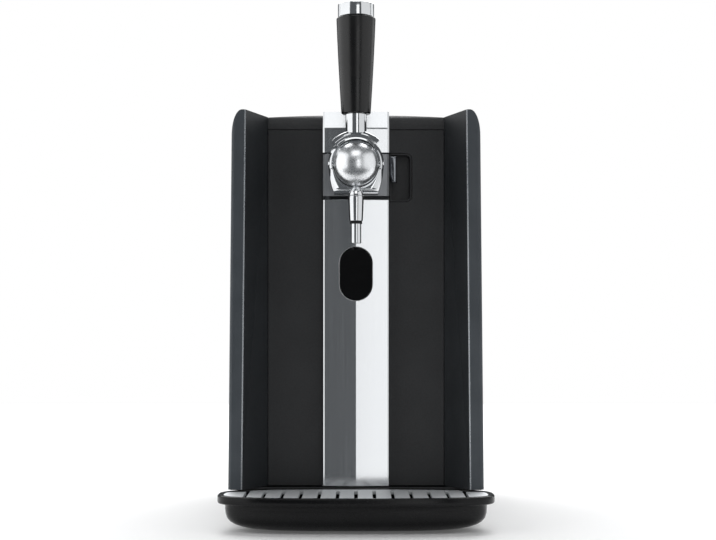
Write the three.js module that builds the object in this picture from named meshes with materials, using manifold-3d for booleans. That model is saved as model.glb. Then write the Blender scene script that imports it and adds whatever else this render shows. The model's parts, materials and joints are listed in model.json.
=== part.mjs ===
// Mini keg beer dispenser as a bench assembly of separate pieces.
// Millimetres, +Z up, the tap looks along -Y. Inside this file y = 0 is the face of the front panel
// and z = 0 is the table. The last lines move the whole assembly so that its origin is under its middle.

import * as THREE from 'three';
import { mergeVertices } from 'three/addons/utils/BufferGeometryUtils.js';
import Module from 'manifold-3d';

const wasm = await Module();
wasm.setup();

// Clearances and counts shared by every piece
const fit = 0.3;
const over = 1;
const weld = 0.0001;
const fineSteps = 48;
const roundSteps = 32;
const smallSteps = 16;
const arcSteps = 6;

// Housing
const bodyTop = 402;
const panelFoot = 36;
const bodyDepth = 328;
const sideHalfWidth = 119.7;
const sideSpread = 3.6;
const sideWall = 3;
const panelHalfWidth = 87;
const panelWall = 3;
const finReach = 43;
const finFace = 13.7;
const finEdge = 4;
const finInnerEdge = 1.2;
const shoulderWidth = 10;
const shoulderHeight = 26;
const shoulderDrop = 1.6;

// Lid and the fixed cover behind it
const lidHalfWidth = 97.7;
const lidLength = 250.5;
const lidBand = 13.7;
const lidWall = 2.5;
const lidEdgeDrop = 2;
const crownRise = 3.3;
const rollDepth = 9;
const seam = 0.6;
const plugRadius = 88;
const plugDepth = 16;
const hingeGroove = 11;
const hingeDrop = 3.5;
const knuckleRadius = 3.4;
const hingePinRadius = 1.8;
const knuckleWidth = 12;
const hingeStation = 60;
const knuckleArm = 3.4;

// Metal strip down the front
const stripHalfWidth = 32.5;
const stripProud = 11;
const stripRidge = 2;
const stripBevel = 1.6;
const stripWall = 1.5;
const stripTop = 318;
const tongueFoot = 364.2;
const creaseHeight = 388;
const faceLean = 5.5;
const bandRise = 1.6;
const bandWall = 1.2;
const bandLength = 150;

// Tap door and the casting behind it
const doorFoot = 321.3;
const doorTop = 362.4;
const doorThickness = 12.5;
const doorBack = 0.5;
const doorEdge = 2;
const doorHeel = 4.6;
const doorPinInset = 4.8;
const doorPinSetback = 6;
const doorPinRadius = 1.8;
const earThickness = 2.2;
const earReach = 2.8;
const bridgeThickness = 11.1;
const slotHalfWidth = 8;
const slotFoot = 340;
const tailClear = 1;
const pullWidth = 7.5;
const pullThickness = 3.4;
const pullSetback = 3.4;
const pullHeight = 26.5;
const pullTaper = 8;
const pullDrop = 1;
const pocketWidth = 22;
const pocketHeight = 47.6;
const pocketFoot = 316.7;
const pocketDepth = 9.4;
const pocketWall = 1.6;
const pocketCorner = 6;

// Tap, measured from the centre of its ball
const tapReach = 66;
const tapHeight = 347;
const ballRadius = 21;
const ballBack = 5.7;
const yokeInner = 22.6;
const yokeOuter = 26.3;
const yokeHalfDepth = 4.5;
const eyeRadius = 5.4;
const axleRadius = 2.5;
const hoodInner = 27;
const hoodOuter = 31;
const hoodHalfWidth = 22.4;
const hoodFront = 8;
const hoodBack = 10;
const hoodGroove = 1;
const stemRadius = 10;
const stemTop = 46.5;
const spigotRadius = 6;
const spigotLength = 24;
const neckRadius = 26.5;
const neckFootHalfWidth = 21.4;
const neckFoot = 25.4;
const neckWaist = 25.5;
const neckLean = 2;
const lugRadius = 7.6;
const heelDepth = 15;
const lugFoot = 30;
const spoutRadius = 7.4;
const spoutLength = 24;
const spoutWall = 1.4;
const nozzleRadius = 5;
const nozzleLength = 30;
const nozzleGrip = 9;
const nozzleWall = 1.2;
const lineRadius = 2.7;
const lineGap = 0.5;
const lineHollow = 1.6;
const lineHeight = -13;
const lineTail = 8;
const lineBend = 20;
const kneeReach = 9.6;
const kneeDrop = 8.8;
const lineDrop = 16;
const lineSteps = 20;
const lineSides = 6;

// Handle, measured up from the stem
const gripLength = 91.1;
const gripFootRadius = 13.9;
const gripTopRadius = 18.6;
const gripFootRound = 4;
const gripTopRound = 1.2;
const capHeight = 13.2;
const capRadius = 17.1;
const capRound = 1.2;
const capDome = 0.4;
const capSpigotRadius = 5;
const capSpigotLength = 8;

// Display in the lower strip
const windowHalfWidth = 15.7;
const windowTop = 271;
const windowFoot = 219;
const windowThickness = 3;
const windowProud = 0.4;
const boardThickness = 1.6;
const boardGap = 1.4;
const boardMargin = 2;
const ribbonWidth = 12;
const ribbonThickness = 0.8;
const ribbonSetback = 5.2;
const ribbonPass = 50;

// Keg chamber
const chamberRadius = 92;
const bucketWall = 1.5;
const bucketFoot = 60;
const bucketTop = 383.4;
const foamHalfWidth = 115;
const foamFrontWall = 10.2;
const foamBackWall = 24.5;
const deckThickness = 2.7;
const deckHalfInset = 0.4;
const gasketWidth = 2.2;
const gasketHeight = 2.7;

// Cooling unit
const coldWidth = 50;
const coldHeight = 60;
const coldReach = 34;
const coolingHeight = 225;
const chipWidth = 40;
const chipThickness = 3.7;
const sinkWidth = 100;
const sinkHeight = 100;
const sinkBase = 6.7;
const sinkFinLength = 53;
const sinkFinThickness = 2;
const sinkFins = 12;

// Fan and its screws
const fanSize = 92;
const fanDepth = 25;
const fanBoreRadius = 43;
const hubRadius = 17;
const hubLength = 17;
const hubStart = 2.6;
const bladeCount = 7;
const bladeRadius = 41.5;
const bladeThickness = 1.8;
const bladeChord = 19;
const bladePitch = 38;
const strutThickness = 3;
const mountDisc = 4.6;
const screwInset = 5;
const screwRadius = 1.6;
const screwHeadRadius = 3.4;
const screwHeadHeight = 1.8;

// Rear panel, its vents, inlet and switch
const rearWall = 3;
const ventHeight = 3.4;
const ventPitch = 6.4;
const ventRadius = 42;
const intakeCount = 7;
const intakeLength = 42;
const intakeSetout = 84;
const intakeHeight = 132;
const socketX = 72;
const socketHeight = 68;
const inletWidth = 27;
const inletHeight = 19;
const inletDepth = 21;
const inletWall = 1.5;
const inletRecess = 15;
const pinLength = 8;
const pinWidth = 2;
const pinTall = 4;
const pinSpread = 7;
const pinRise = 3;
const switchWidth = 15;
const switchHeight = 22;
const switchDepth = 22;
const switchWall = 1.6;
const switchRecess = 13;
const rockerPivot = 7;
const rockerHalfHeight = 8.4;
const rockerNose = 4.6;
const rockerWaist = 3.4;
const rockerBack = 2;
const rockerTilt = 6;

// Air pump and its hose
const pumpX = -73;
const pumpSetback = 53;
const pumpFoot = 250;
const motorRadius = 14;
const motorHeight = 50;
const pumpHeadWidth = 32;
const pumpHeadHeight = 22;
const nippleRadius = 3;
const nippleHeight = 6;
const shelfThickness = 3;
const shelfWidth = 40;
const shelfDepth = 68;
const hoseRadius = 3;
const hoseHollow = 1.7;
const hoseSteps = 16;
const hoseSides = 5;
const hoseLift = 28;
const hoseShoulder = 18;
const portRadius = 5;
const portFlange = 8;
const portFlangeThickness = 2;
const portLength = 8.6;
const portDrop = 10;

// Base tub, its feet and what lies in it
const footHeight = 4;
const footRadius = 10;
const footStem = 3;
const footSetX = 95;
const footSetY = 26;
const tubHalfWidth = 116;
const tubFront = -12;
const tubWall = 3;
const tabWidth = 20;
const tabThickness = 4;
const tabHeight = 12;
const tabSetX = 45;
const tabReach = 22;
const tabSink = 14;
const tabClear = 0.4;
const postRadius = 3.5;
const postHeight = 6;
const postInset = 4.5;
const mainWidth = 120;
const mainDepth = 100;
const mainSetback = 62;
const chipBlock = 16;
const chipRise = 4;
const capacitorRadius = 6;
const capacitorRise = 12;
const supplyWidth = 46;
const supplyDepth = 92;
const supplyHeight = 26;
const supplySetback = 214;
const supplyX = 82;
const supplyStep = 10;

// Drip tray and its grid
const trayHalfWidth = 130.75;
const trayHalfDepth = 50;
const trayRim = 34.8;
const rimDepth = 8;
const rimLip = 5.5;
const rimOverhang = 7.1;
const rimRound = 1.8;
const ledge = 5.5;
const ledgeDrop = 3.9;
const trayFoot = 2.5;
const trayFloor = 2.9;
const trayWall = 3;
const cornerPower = 3;
const traySteps = 64;
const trayFootRadius = 6;
const trayFootX = 62;
const trayFootBack = 8;
const gridThickness = 3;
const slotSpanShare = 0.794;
const gridSlots = 13;
const gridSlotWidth = 3.5;
const gridBackBar = 17;
const gridFrontBar = 3.5;
const finClear = 1.5;

// Shares of the tray's height and depth where its bowl turns under
const bowlShares = [
  { height: 0.72, inset: 0 },
  { height: 0.39, inset: 0.07 },
  { height: 0.24, inset: 0.2 },
  { height: 0.14, inset: 0.41 },
  { height: 0.05, inset: 0.7 },
  { height: 0, inset: 1 },
];
const bowlTuck = 39.7;
const bowlTuckDepth = 18;

// Places worked out from the sizes above
const finInner = sideHalfWidth - finFace;
const panelEdge = panelHalfWidth + fit;
const panelBack = panelWall + fit;
const ledgeEdge = lidHalfWidth + fit;
const lidFoot = bodyTop - lidBand;
const lidEdge = bodyTop - lidEdgeDrop;
const lidPeak = lidEdge + crownRise;
const panelTop = lidFoot - seam;
const deckTop = bucketTop + fit + deckThickness;
const gasketTop = deckTop + fit + gasketHeight;
const hingeY = lidLength + hingeGroove / 2;
const hingeZ = bodyTop - hingeDrop;
const coverFront = lidLength + hingeGroove;
const rearFace = bodyDepth - rearWall;
const foamFront = fit + bridgeThickness + fit + fit;
const chamberY = foamFront + foamFrontWall + fit + bucketWall + chamberRadius;
const bucketOuter = chamberRadius + bucketWall;
const foamBack = chamberY + bucketOuter + fit + foamBackWall;
const coldBack = foamBack - fit;
const chipBack = coldBack + fit + chipThickness;
const sinkFront = chipBack + fit;
const fanFront = rearFace - fit - fanDepth;
const pinX = doorPinInset - stripHalfWidth;
const pinY = -doorPinSetback;
const doorFront = -doorBack - doorThickness;
const tubFloor = footHeight + tubWall;
const tubTop = panelFoot - fit;
const bridgeFoot = stripTop - fit;
const trayY = -tapReach;
const finSlope = (finInner - panelEdge) / finReach;

// Shapes and solids

function ring(points) {
  return new THREE.Shape(points.map(([x, y]) => new THREE.Vector2(x, y)));
}

function solid(geometry) {
  const bare = geometry.clone();
  bare.deleteAttribute('normal');
  bare.deleteAttribute('uv');
  const merged = mergeVertices(bare, weld);
  const corners = merged.index.array;
  const kept = [];
  for (let i = 0; i < corners.length; i += 3) {
    const [a, b, c] = [corners[i], corners[i + 1], corners[i + 2]];
    if (a !== b && b !== c && c !== a) kept.push(a, b, c);
  }
  const vertProperties = merged.attributes.position.array;
  return new wasm.Manifold(new wasm.Mesh({ numProp: 3, vertProperties, triVerts: new Uint32Array(kept) }));
}

function surface(body) {
  const mesh = body.getMesh();
  const geometry = new THREE.BufferGeometry();
  geometry.setAttribute('position', new THREE.BufferAttribute(mesh.vertProperties, mesh.numProp));
  geometry.setIndex(new THREE.BufferAttribute(mesh.triVerts, 1));
  geometry.computeVertexNormals();
  return geometry;
}

function join(first, ...rest) {
  return rest.reduce((whole, part) => whole.add(part), first);
}

function cut(first, ...rest) {
  return rest.reduce((whole, part) => whole.subtract(part), first);
}

function box([x0, x1], [y0, y1], [z0, z1]) {
  const geometry = new THREE.BoxGeometry(x1 - x0, y1 - y0, z1 - z0);
  geometry.translate((x0 + x1) / 2, (y0 + y1) / 2, (z0 + z1) / 2);
  return solid(geometry);
}

// Outlines drawn in plan (x, y), in front view (x, z) and in side view (y, z)
function prismZ(shape, [z0, z1], curveSegments = arcSteps) {
  const geometry = new THREE.ExtrudeGeometry(shape, { depth: z1 - z0, bevelEnabled: false, curveSegments });
  geometry.translate(0, 0, z0);
  return solid(geometry);
}

function prismY(shape, [y0, y1], curveSegments = arcSteps) {
  const geometry = new THREE.ExtrudeGeometry(shape, { depth: y1 - y0, bevelEnabled: false, curveSegments });
  geometry.rotateX(Math.PI / 2);
  geometry.translate(0, y1, 0);
  return solid(geometry);
}

function prismX(shape, [x0, x1], curveSegments = arcSteps) {
  const geometry = new THREE.ExtrudeGeometry(shape, { depth: x1 - x0, bevelEnabled: false, curveSegments });
  const across = new THREE.Vector3(0, 1, 0);
  const up = new THREE.Vector3(0, 0, 1);
  const along = new THREE.Vector3(1, 0, 0);
  geometry.applyMatrix4(new THREE.Matrix4().makeBasis(across, up, along));
  geometry.translate(x0, 0, 0);
  return solid(geometry);
}

function rodX(radius, [x0, x1], y, z, steps = smallSteps) {
  const geometry = new THREE.CylinderGeometry(radius, radius, x1 - x0, steps);
  geometry.rotateZ(Math.PI / 2);
  geometry.translate((x0 + x1) / 2, y, z);
  return solid(geometry);
}

function rodY(radius, [y0, y1], x, z, steps = smallSteps) {
  const geometry = new THREE.CylinderGeometry(radius, radius, y1 - y0, steps);
  geometry.translate(x, (y0 + y1) / 2, z);
  return solid(geometry);
}

function rodZ(radius, [z0, z1], x, y, steps = smallSteps) {
  const geometry = new THREE.CylinderGeometry(radius, radius, z1 - z0, steps);
  geometry.rotateX(Math.PI / 2);
  geometry.translate(x, y, (z0 + z1) / 2);
  return solid(geometry);
}

// A profile of [radius, height] points turned about the upright axis
function turnedGeometry(profile, steps) {
  const geometry = new THREE.LatheGeometry(profile.map(([r, h]) => new THREE.Vector2(r, h)), steps);
  geometry.rotateX(Math.PI / 2);
  return geometry;
}

function turned(profile, steps = roundSteps) {
  return solid(turnedGeometry(profile, steps));
}

function tubeAlong(points, radius, steps, sides, hollow = 0) {
  const circle = new THREE.Shape().absarc(0, 0, radius, 0, 2 * Math.PI);
  if (hollow > 0) circle.holes.push(new THREE.Path().absarc(0, 0, hollow, 0, 2 * Math.PI, true));
  const extrudePath = new THREE.CatmullRomCurve3(points, false, 'centripetal');
  return solid(new THREE.ExtrudeGeometry(circle, { steps, curveSegments: sides, extrudePath }));
}

function moved(body, x, y, z) {
  const geometry = surface(body);
  geometry.translate(x, y, z);
  return solid(geometry);
}

// The quarter ellipse that rounds a corner from (x, z - rz) up and inwards to (x - rx, z)
function roundedTop(halfWidth, top, rx, rz, foot) {
  const shape = new THREE.Shape();
  shape.moveTo(0, foot);
  shape.lineTo(halfWidth, foot);
  shape.lineTo(halfWidth, top - rz);
  shape.absellipse(halfWidth - rx, top - rz, rx, rz, 0, Math.PI / 2);
  shape.lineTo(0, top);
  return shape;
}

// Side panels: a shell with a fin in front, a slanted cheek back to the front panel and a top ledge

function sidePlan() {
  const shape = new THREE.Shape();
  shape.moveTo(ledgeEdge, bodyDepth);
  shape.lineTo(ledgeEdge, panelBack);
  shape.lineTo(panelEdge, panelBack);
  shape.lineTo(panelEdge, 0);
  shape.lineTo(finInner, finInnerEdge - finReach);
  shape.lineTo(finInner + finInnerEdge, -finReach);
  shape.lineTo(sideHalfWidth - finEdge, -finReach);
  shape.absarc(sideHalfWidth - finEdge, finEdge - finReach, finEdge, -Math.PI / 2, 0);
  shape.lineTo(sideHalfWidth, bodyDepth);
  return shape;
}

function sideHollowPlan() {
  const cheek = sideWall * Math.hypot(1, finSlope);
  const front = sideWall - finReach;
  return ring([
    [sideHalfWidth - sideWall, bodyDepth + over],
    [sideHalfWidth - sideWall, front],
    [finInner - sideWall * finSlope + cheek, front],
    [panelEdge + cheek, 0],
    [panelEdge + cheek, panelBack + over],
    [panelEdge, panelBack + over],
    [panelEdge, bodyDepth + over],
  ]);
}

function sideShell() {
  const reach = [-finReach - over, bodyDepth + 2 * over];
  const outside = prismZ(sidePlan(), [panelFoot, bodyTop]).intersect(
    prismY(roundedTop(sideHalfWidth, bodyTop, shoulderWidth, shoulderHeight, panelFoot - over), reach),
  );
  const hollowRound = [shoulderWidth - sideWall, shoulderHeight - sideWall];
  const shoulder = bodyTop - shoulderDrop;
  const inner = roundedTop(sideHalfWidth - sideWall, shoulder - sideWall, ...hollowRound, panelFoot - over);
  const inside = prismZ(sideHollowPlan(), [panelFoot - over, bodyTop]).intersect(prismY(inner, reach));
  const sweep = prismX(ring([
    [-finReach, bodyTop],
    [0, shoulder],
    [bodyDepth + over, shoulder],
    [bodyDepth + over, bodyTop + over],
    [-finReach, bodyTop + over],
  ]), [0, sideHalfWidth + sideSpread]);
  return cut(outside, inside, sweep);
}

// The housing's sides lean out towards its foot, while the edges beside the front panel stay upright
function leaned(geometry) {
  const place = geometry.attributes.position;
  const slope = sideSpread / (bodyTop - panelFoot);
  for (let i = 0; i < place.count; i += 1) {
    const x = place.getX(i);
    const share = THREE.MathUtils.clamp((Math.abs(x) - panelEdge) / (finInner - panelEdge), 0, 1);
    place.setX(i, x + Math.sign(x) * share * slope * (bodyTop - place.getZ(i)));
  }
  return geometry;
}

function mirrored(geometry) {
  const place = geometry.attributes.position;
  for (let i = 0; i < place.count; i += 1) place.setX(i, -place.getX(i));
  const corners = geometry.index.array;
  for (let i = 0; i < corners.length; i += 3) {
    [corners[i], corners[i + 1]] = [corners[i + 1], corners[i]];
  }
  return geometry;
}

// Front panel with its opening for the tap casting and the finger pocket
function frontPanel() {
  const plate = box([-panelHalfWidth, panelHalfWidth], [0, panelWall], [panelFoot + fit, panelTop]);
  const bridgeEdge = stripHalfWidth + fit;
  const bridgeHole = box([-bridgeEdge, bridgeEdge], [-over, panelWall + over], [bridgeFoot - fit, bodyTop]);
  const pocketHole = prismY(pocketOutline(fit), [-over, panelWall + over]);
  const ribbonX = [-ribbonWidth / 2 - fit, ribbonWidth / 2 + fit];
  const ribbonZ = [ribbonPass - fit, ribbonPass + ribbonThickness + fit];
  return cut(plate, bridgeHole, pocketHole, box(ribbonX, [-over, panelWall + over], ribbonZ));
}

// Pocket that gives a finger room behind the door pull: square beside the strip, rounded outside
function pocketOutline(grow) {
  const x0 = stripHalfWidth + fit + fit - grow;
  const z0 = pocketFoot - grow;
  const z1 = pocketFoot + pocketHeight + grow;
  const cornerX = stripHalfWidth + fit + fit + pocketWidth - pocketCorner;
  const round = pocketCorner + grow;
  const outline = new THREE.Shape();
  outline.moveTo(x0, z0);
  outline.lineTo(cornerX, z0);
  outline.absarc(cornerX, z0 + round, round, -Math.PI / 2, 0);
  outline.absarc(cornerX, z1 - round, round, 0, Math.PI / 2);
  outline.lineTo(x0, z1);
  return outline;
}

function fingerCup() {
  const outside = prismY(pocketOutline(0), [0, pocketDepth]);
  return cut(outside, prismY(pocketOutline(-pocketWall), [-over, pocketDepth - pocketWall]));
}

// Plan of the strip: a shallow ridge down its middle and a small bevel at each edge
function stripPlan(inset, back) {
  const edge = stripHalfWidth - inset;
  const face = inset - stripProud;
  return ring([
    [-edge, back],
    [-edge, face + stripBevel],
    [-edge + stripBevel, face],
    [0, face - stripRidge],
    [edge - stripBevel, face],
    [edge, face + stripBevel],
    [edge, back],
  ]);
}

function stadium(inset) {
  const radius = windowHalfWidth - inset;
  const shape = new THREE.Shape();
  shape.absarc(0, windowTop - windowHalfWidth, radius, 0, Math.PI);
  shape.absarc(0, windowFoot + windowHalfWidth, radius, Math.PI, 2 * Math.PI);
  return shape;
}

function lowerStrip() {
  const outside = prismZ(stripPlan(0, -fit), [panelFoot + fit, stripTop]);
  const inside = prismZ(stripPlan(stripWall, over), [panelFoot - over, stripTop - stripWall]);
  const hole = prismY(stadium(-fit), [-stripProud - stripRidge - over, 0], smallSteps);
  return cut(outside, inside, hole);
}

function displayWindow() {
  const face = -stripProud - stripRidge + windowProud;
  return prismY(stadium(0), [face, face + windowThickness], smallSteps);
}

function displayBoard() {
  const face = -stripProud - stripRidge + windowProud + windowThickness + fit;
  const halfWidth = windowHalfWidth - boardMargin;
  const plateZ = [windowFoot + boardMargin, windowTop - boardMargin];
  const plate = box([-halfWidth, halfWidth], [face + boardGap, face + boardGap + boardThickness], plateZ);
  const lampZ = [windowFoot + windowHalfWidth, windowTop - windowHalfWidth];
  const lamps = box([-halfWidth / 2, halfWidth / 2], [face, face + boardGap + over / 2], lampZ);
  return join(plate, lamps);
}

function displayCable() {
  const front = -ribbonSetback;
  const socketZ = mainTop() + fit + ribbonThickness;
  const back = panelBack + foamFront;
  const top = windowFoot + windowHalfWidth;
  const outline = ring([
    [front, top],
    [front, ribbonPass],
    [back, ribbonPass],
    [back, socketZ - ribbonThickness],
    [mainSetback + chipBlock, socketZ - ribbonThickness],
    [mainSetback + chipBlock, socketZ],
    [back + ribbonThickness, socketZ],
    [back + ribbonThickness, ribbonPass + ribbonThickness],
    [front + ribbonThickness, ribbonPass + ribbonThickness],
    [front + ribbonThickness, top],
  ]);
  return prismX(outline, [-ribbonWidth / 2, ribbonWidth / 2]);
}

// Casting behind the door: it holds the door's pin in two ears and leaves a slot for the keg's line
function tapBridge() {
  const half = stripHalfWidth - fit;
  const plate = box([-half, half], [fit, fit + bridgeThickness], [bridgeFoot, bucketTop]);
  const slot = box([-slotHalfWidth, slotHalfWidth], [0, bridgeThickness + over], [slotFoot, bodyTop]);
  const tailFoot = tapHeight + lineHeight - lineRadius - lineGap - tailClear;
  const tail = box([-slotHalfWidth, slotHalfWidth], [0, bridgeThickness + over], [tailFoot, slotFoot + over]);
  const lowEar = pinEar([doorFoot - fit - earThickness, doorFoot - fit]);
  const highEar = pinEar([tongueFoot, tongueFoot + earThickness]);
  const bore = rodZ(doorPinRadius + fit, [stripTop - over, tongueFoot + earThickness + over], pinX, pinY);
  return cut(join(plate, lowEar, highEar), slot, tail, bore);
}

function pinEar(level) {
  const arm = box([pinX - earReach, pinX + earReach], [pinY, fit + over], level);
  return join(arm, rodZ(earReach, level, pinX, pinY));
}

function doorHingePin() {
  return rodZ(doorPinRadius, [doorFoot - fit - earThickness, tongueFoot + earThickness], pinX, pinY);
}

// Door: a block with bevelled sides, rounded heel, bored for its pin and for the line
function tapDoor() {
  const edge = stripHalfWidth;
  const outline = ring([
    [-edge, doorFront + doorEdge],
    [-edge + doorEdge, doorFront],
    [edge - doorEdge, doorFront],
    [edge, doorFront + doorEdge],
    [edge, -doorBack],
    [-edge + doorHeel, -doorBack],
    [-edge + doorHeel / 3, -doorBack - doorHeel / 3],
    [-edge, -doorBack - doorHeel],
  ]);
  const block = prismZ(outline, [doorFoot, doorTop]);
  const bore = rodZ(doorPinRadius + fit, [doorFoot - over, doorTop + over], pinX, pinY);
  return cut(block, bore, lineBore());
}

// The outlet line runs level through the door, turns down in the neck and ends in the nozzle
function linePoints() {
  const level = tapHeight + lineHeight;
  const foot = tapHeight - lugFoot - nozzleGrip;
  return [
    new THREE.Vector3(0, lineTail, level),
    new THREE.Vector3(0, doorFront, level),
    new THREE.Vector3(0, lineBend - tapReach, level),
    new THREE.Vector3(0, kneeReach - tapReach, level - kneeDrop),
    new THREE.Vector3(0, -tapReach, level - lineDrop),
    new THREE.Vector3(0, -tapReach, foot),
  ];
}

function lineBore() {
  return tubeAlong(linePoints(), lineRadius + lineGap, lineSteps, lineSides);
}

function outletTube() {
  return tubeAlong(linePoints(), lineRadius, lineSteps, lineSides, lineHollow);
}

// Neck: a shield outline from the door's face to the ball, with a lug below that takes the spout
function neckOutline() {
  const shape = new THREE.Shape();
  const foot = tapHeight - neckFoot;
  const bend = neckFoot / 2;
  shape.moveTo(-neckFootHalfWidth, foot);
  shape.lineTo(neckFootHalfWidth, foot);
  shape.quadraticCurveTo(neckWaist, foot + bend / 2, neckRadius, tapHeight);
  shape.absarc(0, tapHeight, neckRadius, 0, Math.PI);
  shape.quadraticCurveTo(-neckWaist, foot + bend / 2, -neckFootHalfWidth, foot);
  return shape;
}

// Above the door the back of the neck leans forward, so that the lid's tongue swings past it
function tongueWay() {
  const back = doorFront - fit;
  const peak = tapHeight + neckRadius + over;
  const outline = ring([
    [back, doorTop],
    [back + over, doorTop],
    [back + over, peak],
    [back - neckLean, peak],
  ]);
  return prismX(outline, [-neckRadius - over, neckRadius + over]);
}

function tapBody() {
  const neckFront = -tapReach + ballBack + fit;
  const neck = cut(prismY(neckOutline(), [neckFront, doorFront - fit], smallSteps), tongueWay());
  const lug = rodZ(lugRadius, [tapHeight - lugFoot, tapHeight - ballRadius], 0, -tapReach, roundSteps);
  const seat = new THREE.SphereGeometry(ballRadius + fit, roundSteps, roundSteps / 2);
  seat.translate(0, -tapReach, tapHeight);
  const heelZ = [tapHeight - lugFoot, tapHeight - neckFoot + lugRadius / 2];
  const heel = box([-spoutRadius, spoutRadius], [-tapReach, heelDepth - tapReach], heelZ);
  return cut(join(neck, lug, heel), solid(seat), lineBore());
}

// Ball: a polished dome on the front of the neck, bored for the lever's axle
function tapBall() {
  const sphere = new THREE.SphereGeometry(ballRadius, roundSteps, roundSteps / 2);
  sphere.translate(0, -tapReach, tapHeight);
  const half = [-ballRadius - over, ballRadius + over];
  const keep = box(half, [-tapReach - ballRadius - over, -tapReach + ballBack], [
    tapHeight - ballRadius - over,
    tapHeight + ballRadius + over,
  ]);
  const bore = rodX(axleRadius + fit, half, -tapReach, tapHeight);
  return cut(solid(sphere).intersect(keep), bore);
}

function leverAxle() {
  return rodX(axleRadius, [-yokeOuter, yokeOuter], -tapReach, tapHeight);
}

function spout() {
  const top = tapHeight - lugFoot - fit;
  const foot = top - spoutLength;
  const hollow = lineRadius + lineGap;
  const tipHollow = nozzleRadius + fit;
  const body = rodZ(spoutRadius, [foot, top], 0, -tapReach, roundSteps);
  const bore = rodZ(hollow, [foot - over, top + over], 0, -tapReach);
  const socket = rodZ(tipHollow, [foot - over, foot + nozzleGrip + fit], 0, -tapReach);
  return cut(body, bore, socket);
}

function nozzle() {
  const foot = tapHeight - lugFoot - fit - spoutLength;
  const top = foot + nozzleGrip;
  const body = rodZ(nozzleRadius, [top - nozzleLength, top], 0, -tapReach, roundSteps);
  return cut(body, rodZ(nozzleRadius - nozzleWall, [top - nozzleLength - over, top + over], 0, -tapReach));
}

function doorPull() {
  const x0 = stripHalfWidth + fit;
  const x1 = x0 + pullWidth;
  const top = doorTop - pullDrop;
  const foot = top - pullHeight;
  const outline = ring([
    [x0, foot + pullTaper],
    [x0 + pullWidth / 3, foot],
    [x1, foot],
    [x1, top],
    [x0, top],
  ]);
  return prismY(outline, [-pullSetback - pullThickness, -pullSetback]);
}

// Lever, measured from the centre of the ball: half ring, collar and stem in one casting
function arcBand(inner, outer, from, to, [y0, y1], steps) {
  const shape = new THREE.Shape();
  shape.absarc(0, 0, outer, from, to, false);
  shape.absarc(0, 0, inner, to, from, true);
  return prismY(shape, [y0, y1], steps);
}

function leverYoke() {
  const spread = Math.asin(hoodHalfWidth / hoodOuter);
  const half = [-yokeHalfDepth, yokeHalfDepth];
  const yoke = arcBand(yokeInner, yokeOuter, 0, Math.PI, half, smallSteps);
  const top = Math.PI / 2;
  const hood = arcBand(hoodInner, hoodOuter, top - spread, top + spread, [-hoodFront, hoodBack], smallSteps);
  const web = arcBand(yokeOuter - over, hoodInner + over, top - spread, top + spread, half, smallSteps);
  const middle = (hoodInner + hoodOuter) / 2;
  const grooveY = [-hoodFront - over, hoodGroove - hoodFront];
  const groove = arcBand(middle - hoodGroove / 2, middle + hoodGroove / 2, 0, Math.PI, grooveY, roundSteps);
  const stem = rodZ(stemRadius, [middle, stemTop], 0, 0, roundSteps);
  const spigot = rodZ(spigotRadius, [stemTop - over, stemTop + spigotLength], 0, 0);
  const eyes = [-1, 1].map((side) => {
    const reach = side < 0 ? [-yokeOuter, -yokeInner] : [yokeInner, yokeOuter];
    return rodX(eyeRadius, reach, 0, 0);
  });
  const bore = rodX(axleRadius + fit, [-hoodOuter, hoodOuter], 0, 0);
  return cut(join(yoke, web, cut(hood, groove), stem, spigot, ...eyes), bore);
}

function handleGrip() {
  const foot = stemTop + fit;
  const top = foot + gripLength;
  const profile = [
    [0, foot],
    [gripFootRadius - gripFootRound, foot],
    [gripFootRadius - gripFootRound / 4, foot + gripFootRound / 3],
    [gripFootRadius, foot + gripFootRound],
    [gripTopRadius, top - gripTopRound],
    [gripTopRadius - gripTopRound, top],
    [0, top],
  ];
  const bore = rodZ(spigotRadius + fit, [foot - over, stemTop + spigotLength + fit], 0, 0);
  const capBore = rodZ(capSpigotRadius + fit, [top - capSpigotLength - fit, top + over], 0, 0);
  return cut(turned(profile), bore, capBore);
}

function handleCap() {
  const foot = stemTop + fit + gripLength + fit;
  const top = foot + capHeight;
  return turned([
    [0, foot - capSpigotLength],
    [capSpigotRadius, foot - capSpigotLength],
    [capSpigotRadius, foot],
    [capRadius - capRound / 4, foot],
    [capRadius, foot + capRound / 3],
    [capRadius, top - capRound - capDome],
    [capRadius - capRound / 3, top - capRound / 3 - capDome],
    [capRadius - capRound, top - capDome],
    [0, top],
  ]);
}

// Lid: crowned across, rolled over at the front, with two knuckles behind
function crown(halfWidth, foot) {
  const shape = new THREE.Shape();
  shape.moveTo(-halfWidth, foot);
  shape.lineTo(halfWidth, foot);
  shape.lineTo(halfWidth, lidEdge);
  shape.quadraticCurveTo(0, lidEdge + 2 * crownRise, -halfWidth, lidEdge);
  return shape;
}

function lidOutside(grow) {
  const across = prismY(crown(lidHalfWidth + grow, lidFoot), [-grow, lidLength], smallSteps);
  const peak = lidPeak + grow;
  const roll = new THREE.Shape();
  roll.moveTo(-grow, lidFoot - over);
  roll.lineTo(-grow, lidFoot);
  roll.absellipse(rollDepth, lidFoot, rollDepth + grow, peak - lidFoot, Math.PI, Math.PI / 2, true);
  roll.lineTo(lidLength, peak);
  roll.lineTo(lidLength, lidFoot - over);
  const along = prismX(roll, [-lidHalfWidth - over, lidHalfWidth + over], smallSteps);
  return across.intersect(along);
}

function knuckle(x, wallY) {
  const width = [x - knuckleWidth / 2, x + knuckleWidth / 2];
  const armY = wallY < hingeY ? [wallY, hingeY] : [hingeY, wallY];
  const barrel = rodX(knuckleRadius, width, hingeY, hingeZ);
  return join(barrel, box(width, armY, [hingeZ - knuckleArm / 2, hingeZ + knuckleArm / 2]));
}

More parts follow.
